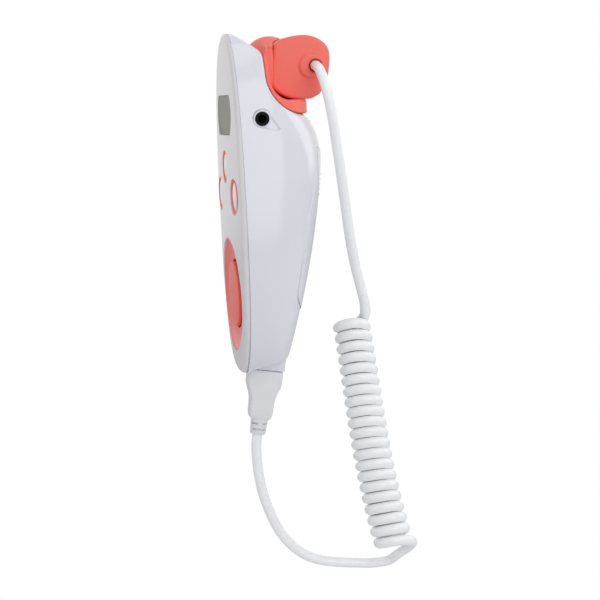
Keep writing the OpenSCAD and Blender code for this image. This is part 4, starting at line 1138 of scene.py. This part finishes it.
# %% The window
def plate(name, outline, y_front, thick, bevel):
    """A flat lens with a narrow softened front edge."""
    cx, cz = np.mean([p[0] for p in outline]), np.mean([p[1] for p in outline])
    rings = [(0, bevel), (bevel * 0.3, bevel * 0.3), (bevel, 0), (thick, 0)]
    points = []
    for deep, inset in rings:
        for x, z in outline:
            d = math.hypot(x - cx, z - cz)
            points.append((x - (x - cx) / d * inset, y_front + deep, z - (z - cz) / d * inset))
    obj = make_object(name, points, stack_faces(len(rings), len(outline)))
    tidy_normals(obj)
    soften(obj, 12)
    return obj


WINDOW_RECESS = 0.7
window_front = face_y(0, WINDOW_Z) + WINDOW_RECESS
window_lens = plate("window_lens", window_outline(), window_front, 1.9, 0.15)
finish(window_lens, window_tint, "case", "lcd_window", slot="window")

# %% Keys and their bezels
KEY_SEAT, CAP_GAP, FUNNEL, FLANGE, DOME_RISE = 1.5, 0.3, 1.3, 1.1, 0.75
CAP_SKIRT, STEM_R, STEM_Y = 2.4, 2, 1.4
for label, (kx, kz, kd) in KEYS.items():
    r, y = kd / 2, face_y(kx, kz)
    seat, back, mouth = y + KEY_SEAT, y + KEY_SEAT + 0.8, r - FUNNEL
    ring = [(mouth, y + 1.0), (r - 0.22, y + 0.12), (r, y + 0.15), (r, seat), (r + FLANGE, seat),
            (r + FLANGE, back), (mouth, back), (mouth, y + 1.0)]
    bezel = turned(f"bezel_{label}", rounded(ring, 0.12), (kx, 0, kz), merge=WELD)
    finish(bezel, coral_gloss, "case", f"key_bezel_{label}", slot="coral")
    key_r = mouth - CAP_GAP
    dome = [(key_r * math.sin(math.radians(a)), y + DOME_RISE - DOME_RISE * math.cos(math.radians(a)))
            for a in range(0, 91, 6)]
    stem = [(key_r, y + CAP_SKIRT), (STEM_R, y + CAP_SKIRT), (STEM_R, STEM_Y), (0, STEM_Y)]
    cap = turned(f"cap_{label}", dome + stem, (kx, 0, kz))
    finish(cap, key_white, f"{label}_key", f"key_{label}", slot="key")

# %% The dish and its disc
dish_r, cap_r = DISH_D / 2, CAP_D / 2
dish_in, lip, flange = cap_r + SOUND_GAP, DISH_LIP_Y, dish_r + 1.9
dish_place = (0, 0, DISH_Z)
dish_profile = [(dish_in, 0.9), (dish_in, lip + 1.6), (dish_in + 3, lip + 1.42), (dish_r - 3, lip + 0.75),
                (dish_r - 0.6, lip), (dish_r, lip + 0.05), (dish_r, lip + 1.6), (flange, lip + 1.6),
                (flange, 0.3), (dish_in, 0.9)]
dish_corners = [0, 0.25, 1.5, 2.5, 0.3, 0.2, 0.1, 0.1, 0.1, 0]
dish = turned("dish_bowl", rounded(dish_profile, dish_corners), dish_place, sides=160, merge=WELD)
disc_profile = [(0, lip - 0.5), (cap_r * 0.5, lip - 0.4), (cap_r - 1.2, lip), (cap_r - 0.1, lip + 0.25),
                (cap_r, -0.6), (cap_r - 1.5, -0.6), (cap_r - 1.5, 0.2), (cap_r - 3.1, 0.2),
                (cap_r - 3.1, -0.9), (0, -0.9)]
disc = turned("speaker_disc", rounded(disc_profile, 0.35), dish_place, sides=160)
finish(disc, coral_satin, "case", "speaker_cap", slot="coral")

# %% [markdown]
# The disc stands on six spokes under the sound gap. They are one spoke repeated round the middle,
# which is a job for Geometry Nodes: a mesh circle gives the places, and each place gets a block.

# %% Spokes as instances
def spoke_tree(mat):
    kinds = {"Count": "Int", "Ring radius": "Float", "Block size": "Vector"}
    tree, inside, inputs = start_tree("spokes", kinds)
    nodes, links = tree.nodes, tree.links
    ring, block = nodes.new("GeometryNodeMeshCircle"), nodes.new("GeometryNodeMeshCube")
    place = nodes.new("GeometryNodeInstanceOnPoints")
    where = nodes.new("GeometryNodeInputPosition")
    aim = nodes.new("FunctionNodeAlignRotationToVector")
    aim.axis = "X"
    links.new(inside.outputs["Count"], ring.inputs["Vertices"])
    links.new(inside.outputs["Ring radius"], ring.inputs["Radius"])
    links.new(inside.outputs["Block size"], block.inputs["Size"])
    links.new(ring.outputs["Mesh"], place.inputs["Points"])
    links.new(block.outputs["Mesh"], place.inputs["Instance"])
    links.new(where.outputs["Position"], aim.inputs["Vector"])
    links.new(aim.outputs["Rotation"], place.inputs["Rotation"])
    end_tree(tree, place.outputs["Instances"], mat)
    return tree, inputs


SPOKES, SPOKE_SIZE, SPOKE_Y = 6, (4.0, 2.0, 1.4), 1.0
spokes = tree_mesh("spokes", *spoke_tree(coral_gloss), {
    "Count": SPOKES, "Ring radius": (cap_r + SOUND_GAP / 2) * MM,
    "Block size": tuple(v * MM for v in SPOKE_SIZE)})
upright = Matrix.Rotation(math.radians(-90), 4, "X")
spokes.transform(Matrix.Translation((0, SPOKE_Y * MM, DISH_Z * MM)) @ upright)


def tube(name, r0, r1, y0, y1, place):
    return turned(name, [(r0, y0), (r1, y0), (r1, y1), (r0, y1), (r0, y0)], place, merge=WELD)


# The hub carries the disc, and the skirt centres the loudspeaker behind it.
hub = tube("hub", cap_r - 3.9, cap_r - 1.5, 0.2, 1.8, dish_place)
skirt = tube("skirt", 18, 19.5, 0.4, 3.4, dish_place)
add_meshes(dish, spokes, hub.data, skirt.data)
for extra in (hub, skirt):
    bpy.data.objects.remove(extra)
soften(dish, TURNED_EDGE)
finish(dish, coral_gloss, "case", "speaker_dish", slot="coral")
print("dish faces", len(dish.data.polygons))

# %% [markdown]
# ## The headphone jack
# A black nose with a white rim sits in the scoop. The nose's mouth is a deep round bore, so a
# turned profile gives all of it, with its lip rounded as a moulded one is.

# %% Jack and rim
BORE_R, NOSE_R, NOSE_PROUD, BORE_END, NOSE_END = 1.8, 3.0, 0.05, -13.9, -14.6
RIM_R, RIM_FRONT, RIM_END, RIM_GAP = 3.8, -0.2, -3, 0.02
SHELL_EDGE = 35
jack_place = (jack_face_x, JACK_Y, JACK_Z)
hole_r, rim_in = RIM_R + 0.05, NOSE_R + RIM_GAP
cut(back_shell, turned("jack_cut", [(0, -7), (hole_r, -7), (hole_r, 6), (0, 6)], jack_place, "x"))
nose = [(BORE_R, BORE_END), (BORE_R, NOSE_PROUD), (NOSE_R, NOSE_PROUD), (NOSE_R, NOSE_END)]
jack = turned("jack_nose", [(0, BORE_END)] + rounded(nose, 0.3) + [(0, NOSE_END)], jack_place, "x", 64)
finish(jack, jack_black, "case", slot="black_plastic")
rim_profile = [(rim_in, RIM_END), (rim_in, RIM_FRONT), (RIM_R, RIM_FRONT), (RIM_R, RIM_END)]
rim = turned("jack_rim", rounded(rim_profile + rim_profile[:1], 0.2), jack_place, "x", merge=WELD)
finish(rim, shell_white, "case", "jack_ring", slot="shell")
soften(back_shell, SHELL_EDGE)
soften(battery_door, SHELL_EDGE)
finish(back_shell, shell_white, "case", "back_shell", slot="shell")
finish(seam_tongue, shell_white, "case", slot="shell")
finish(battery_door, shell_white, "door", "battery_door", slot="shell")
finish(front_panel, front_white, "case", "front_panel", slot="front")

# %% [markdown]
# ## The cradle
# The coral cradle lines the notch. A dome rises over the round cup that holds the probe's head,
# and a shallow lip runs out under the probe. It is one moulding with soft corners, so it is
# carved from fields: the lining, the dome and the cup.

# %% Carve the cradle
CUP_BACK_Y, HEAD_D, HOOD_Y, HOOD_FRONT, HOOD_REAR = 17.3, 25.0, 18.9, 13.4, 14.0
GRIP_TOP, LEDGE_Z, LIP_PROUD, CUP_FLOOR_Y = 69.3, 44.93, 1.5, 11.2
PAD_Y, PAD_TOP, PLATFORM_X, PLATFORM_Y = 15.2, 68.5, 16.7, 16.35
pocket_r = (HEAD_D + 0.8) / 2
hood_r = pocket_r + 3.7


def lining_view(y_front, lean, corner, back):
    """Side view of the lining: up the notch wall, down its leaning face and out along the lip."""
    return ([(4, 64), (NOTCH_Y + 0.3, 64), (y_front + lean - 1, PAD_TOP), (y_front + lean, PAD_TOP)]
            + arc(y_front + corner, LEDGE_Z + corner, corner, 180, 270, 16)
            + [(back, LEDGE_Z), (back - 1, 39), (29, 38.6), (20, 30), (4, 40)])


pad_distance = outline_distance(lining_view(PAD_Y, 0.8, 9.2, LIP_Y + 2.4))
platform_distance = outline_distance(lining_view(PLATFORM_Y, 1.9, 6.5, 31))
hood_view = outline_distance([(4, 40), (PLATFORM_Y, 40), (PLATFORM_Y, 51.2), (18.2, GRIP_TOP),
                              (20.5, GRIP_TOP + 1.1), (26, GRIP_TOP + 2.9), (26, 80), (4, 80)])


def cradle_field(x, y, z):
    overhang = LIP_PROUD * np.clip((y - 22) / 8, 0, 1)  # the lip stands out from the shell's back
    skin = case_skin(x, y, z) + 0.3 - overhang
    side = side_distance(y, z)
    pad = soft_max(skin, pad_distance(y, z), 1.0)
    reach = np.sqrt(x * x + (z - CUP_Z) ** 2)
    stretch = np.where(y < HOOD_Y, HOOD_FRONT, HOOD_REAR)
    dome = (np.sqrt((reach / hood_r) ** 2 + ((y - HOOD_Y) / stretch) ** 2) - 1) * HOOD_FRONT
    dome = soft_max(dome, hood_view(y, z), 0.5)
    platform = soft_max(np.abs(x) - PLATFORM_X, platform_distance(y, z), 1.0)
    lining = np.maximum(soft_min(np.minimum(pad, platform), dome, 3.5), -side)
    cup = np.maximum(np.maximum(reach - hood_r, CUP_FLOOR_Y - y), np.maximum(side, y - 25))
    pocket = np.maximum(reach - pocket_r, (NOTCH_Y - 0.1) - y)
    return soft_max(np.minimum(lining, cup), -pocket, 0.5)


cradle = carve("cradle_moulding", cradle_field, (-29, 9, 36), (29, 37, 75), 0.5)
finish(cradle, coral_satin, "case", "probe_cradle", slot="coral")
cup_r, cup_floor = hood_r + 0.03, CUP_FLOOR_Y - 0.05
cup_cut = turned("cup_cut", [(0, cup_floor), (cup_r, cup_floor), (cup_r, 40), (0, 40)], (0, 0, CUP_Z))
cut(back_shell, cup_cut)
soften(back_shell, SHELL_EDGE)

# %% [markdown]
# ## The probe
# The block is soft all over, and fuller at the back. Its round head, face and neck are turned, and
# a raised ring guards the hole where the lead leaves.

# %% Carve the grip
GRIP_W = 35.0
BUSH_X, BUSH_Y, BUSH_Z, BUSH_R = GRIP_W / 2 - 4.5, 36.2, 59.0, 3.0
BOSS_X, BOSS_Y, BOSS_Z, BOSS_R, BOSS_PROUD = 12, 34.4, 59.1, 5.2, 1.0
grip_view = [(17.8, 61), (17.4, 58.5), (17.0, 55.5), (16.8, 53.2), (17.05, 51.4), (18.1, 49.8), (20, 48.1),
             (22.8, 46.5), (25.6, 45.5), (28.2, 45.05), (31, 45), (33.8, 45.04), (36.2, 46), (38.6, 47.6),
             (41.7, 53.2), (42.8, 58), (43.3, 62), (43.2, 65), (42, 67.8), (39.4, 70.2), (35.6, 71.9),
             (31.2, 72.5), (26, 72.0), (22, 70.9), (19.4, GRIP_TOP + 0.1), (18.8, 67.6), (18.3, 64)]
grip_distance = outline_distance(smooth_outline(grip_view, 4))


def grip_field(x, y, z):
    """The block with sides that bulge a little, a raised boss, and a socket for the ring."""
    side = np.abs(x) - (GRIP_W / 2 - 0.3) + 0.0012 * ((y - 30) ** 2 + (z - 58) ** 2)
    block = soft_max(grip_distance(y, z), side, 1.2 + 2.0 * np.clip((y - 32) / 8, 0, 1))
    from_boss = np.sqrt((y - BOSS_Y) ** 2 + (z - BOSS_Z) ** 2)
    boss_top = np.abs(x - BOSS_X) - (GRIP_W / 2 + BOSS_PROUD - BOSS_X) + 0.01 * from_boss ** 2
    block = soft_min(block, soft_max(from_boss - BOSS_R, boss_top, 0.7), 0.6)
    from_bush = np.sqrt((y - BUSH_Y) ** 2 + (z - BUSH_Z) ** 2)
    socket = soft_max(from_bush - BUSH_R - 0.05, BUSH_X - x, 0.2)
    return soft_max(block, -socket, 0.5)


grip = carve("grip_block", grip_field, (-19, 16, 43), (19, 47, 75), 0.6)
finish(grip, coral_satin, "probe", "probe_grip", slot="coral")

# %% Head, face and cord hole
FACE_R, NECK_R, FACE_DEEP, NECK_RUN = 10.5, 9.0, 2, 5
head_y = NOTCH_Y - 0.1 + 0.6
drum_end = CUP_BACK_Y + 0.6 - head_y
drum = [(FACE_R, FACE_DEEP), (FACE_R, 0.0), (HEAD_D / 2, 0.0), (HEAD_D / 2, drum_end - 0.05),
        (NECK_R, drum_end - 0.05), (NECK_R, drum_end + NECK_RUN), (0, drum_end + NECK_RUN)]
drum_corners = [0, 0.2, 1.4, 0.2, 0, 0, 0]
recess = [(0, FACE_DEEP), (FACE_R, FACE_DEEP)]
head = turned("head_drum", rounded(drum, drum_corners) + recess, (0, head_y, CUP_Z), merge=WELD)
finish(head, coral_satin, "probe", "probe_head", slot="coral")
bush_profile = [(0, 1.5), (2.55, 1.5), (2.55, 3.6), (BUSH_R, 3.6), (BUSH_R, 0.05), (0, 0.05)]
bush = turned("cord_hole_ring", rounded(bush_profile, 0.15), (BUSH_X, BUSH_Y, BUSH_Z), "x")
finish(bush, coral_satin, "probe", "probe_cord_bush", slot="coral")

# %% [markdown]
# ## The plug
# The plug's moulding is broad where fingers pull it and narrows towards the lead. It is lofted
# from rounded rectangles, and the slots of the strain relief below it are cut with booleans.

# %% Loft the moulding
def at_plug(p):
    """From the plug's own axes, with z up into the case, to the case's axes."""
    x, y, z = p
    c, s = math.cos(PLUG_LEAN), math.sin(PLUG_LEAN)
    return (x, PLUG_Y + y * c + z * s, PLUG_Z - y * s + z * c)


# Each ring is (width, thickness, height), from the lead up to the socket.
plug_rings = [(6.6, 5.4, -22.4), (7.8, 6.6, -22.3), (8.8, 7.4, -21.9), (9.6, 7.9, -21.1),
              (10.2, 8.2, -19.9), (10.5, 8.4, -18.2), (10.5, 8.45, -16), (10.7, 8.5, -14),
              (11.2, 8.6, -12.3), (12.1, 8.75, -10.8), (13.3, 8.9, -9.3), (14.4, 9.0, -7.9),
              (15.1, 9.0, -6.6), (15.35, 9.0, -5.4), (15.4, 9.0, -1.0), (15.3, 8.85, -0.45),
              (15.0, 8.4, -0.14), (14.3, 7.6, -0.1)]


PILL_CORNER, PILL_SIDES = 1.15, 72


def pill(w, t, z):
    """A rounded rectangle: flat faces with narrow round corners."""
    flat_t, flat_w = t / 2 - PILL_CORNER, w / 2 - PILL_CORNER
    ring = []
    for k in range(PILL_SIDES):
        c, s = (wave(2 * math.pi * (k + 0.5) / PILL_SIDES) for wave in (math.cos, math.sin))
        ring.append((math.copysign(flat_t, c) + PILL_CORNER * c,
                     math.copysign(flat_w, s) + PILL_CORNER * s, z))
    return ring


plug_points = [at_plug(p) for ring in plug_rings for p in pill(*ring)]
plug_body = make_object("plug_moulding", plug_points, stack_faces(len(plug_rings), PILL_SIDES))
tidy_normals(plug_body)
soften(plug_body, 50)
finish(plug_body, plug_white, "plug", "plug_overmould", slot="plug")

# %% Strain relief with its slots
RELIEF_TOP, RELIEF_R0, RELIEF_R1, RELIEF_CORNER = -22.0, 3.4, 3.85, 0.45
SLOT_FLOOR, SLOT_OUT, SLOT_W, SLOT_STEPS = 2.6, 6, 0.9, 12
relief_profile = [(0, RELIEF_END), (RELIEF_R0, RELIEF_END), (RELIEF_R1, RELIEF_TOP), (0, RELIEF_TOP)]
relief = turned("relief", rounded(relief_profile, RELIEF_CORNER), (0, 0, 0), "z")


def slot_tool(angle, half_sweep, low):
    """A curved block that leaves a slot with a round floor."""
    a, b = angle - half_sweep, angle + half_sweep
    ring = arc(0, 0, SLOT_FLOOR, a, b, SLOT_STEPS) + arc(0, 0, SLOT_OUT, b, a, SLOT_STEPS)
    points = [(x, y, z) for z in (low, low + SLOT_W) for x, y in ring]
    tool = make_object("slot", points, stack_faces(2, len(ring)))
    tidy_normals(tool)
    return tool


for face_angle in (0, 180):
    for angle, half_sweep, low in ((-44, 28, -24.6), (44, 28, -24.6), (0, 58, -27.3)):
        cut(relief, slot_tool(face_angle + angle, half_sweep, low))
plug_place = Matrix.Translation((0, PLUG_Y * MM, PLUG_Z * MM))
relief.data.transform(plug_place @ Matrix.Rotation(-PLUG_LEAN, 4, "X"))
soften(relief, TURNED_EDGE)
finish(relief, plug_white, "plug", "plug_strain_relief", slot="cord")

# %% [markdown]
# ## The parts that stay as measured
# Inside the case, and at the socket, the measured solids already have the right shape. They only
# need their finish.

# %% Finish the remaining solids
inner_finishes = (
    (steel, "case_screws", "battery_springs", "battery_contacts", "usb_socket", "plug_shell"),
    (jack_black, "key_switches", "loudspeaker", "headphone_jack"),
    (shell_white, "battery_tray", "socket_collar"),
    (display_olive, "lcd_module"),
    (board_green, "main_board"),
    (cell_sleeve, "battery_cells"),
    (face_rubber, "probe_face"),
    (pale_ceramic, "probe_crystals"),
)
for mat, *names in inner_finishes:
    for obj in (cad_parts[name] for name in names):
        if not obj.data.materials:
            obj.data.materials.append(mat)
        for place in obj.material_slots:
            place.material = mat
print("finished as measured:", sum(len(names) for mat, *names in inner_finishes))

# %% [markdown]
# ## The last step
# White in the picture has to stay white, so we choose the plain view transform.

# %% Colour management and the end
bpy.context.scene.view_settings.view_transform = "Standard"
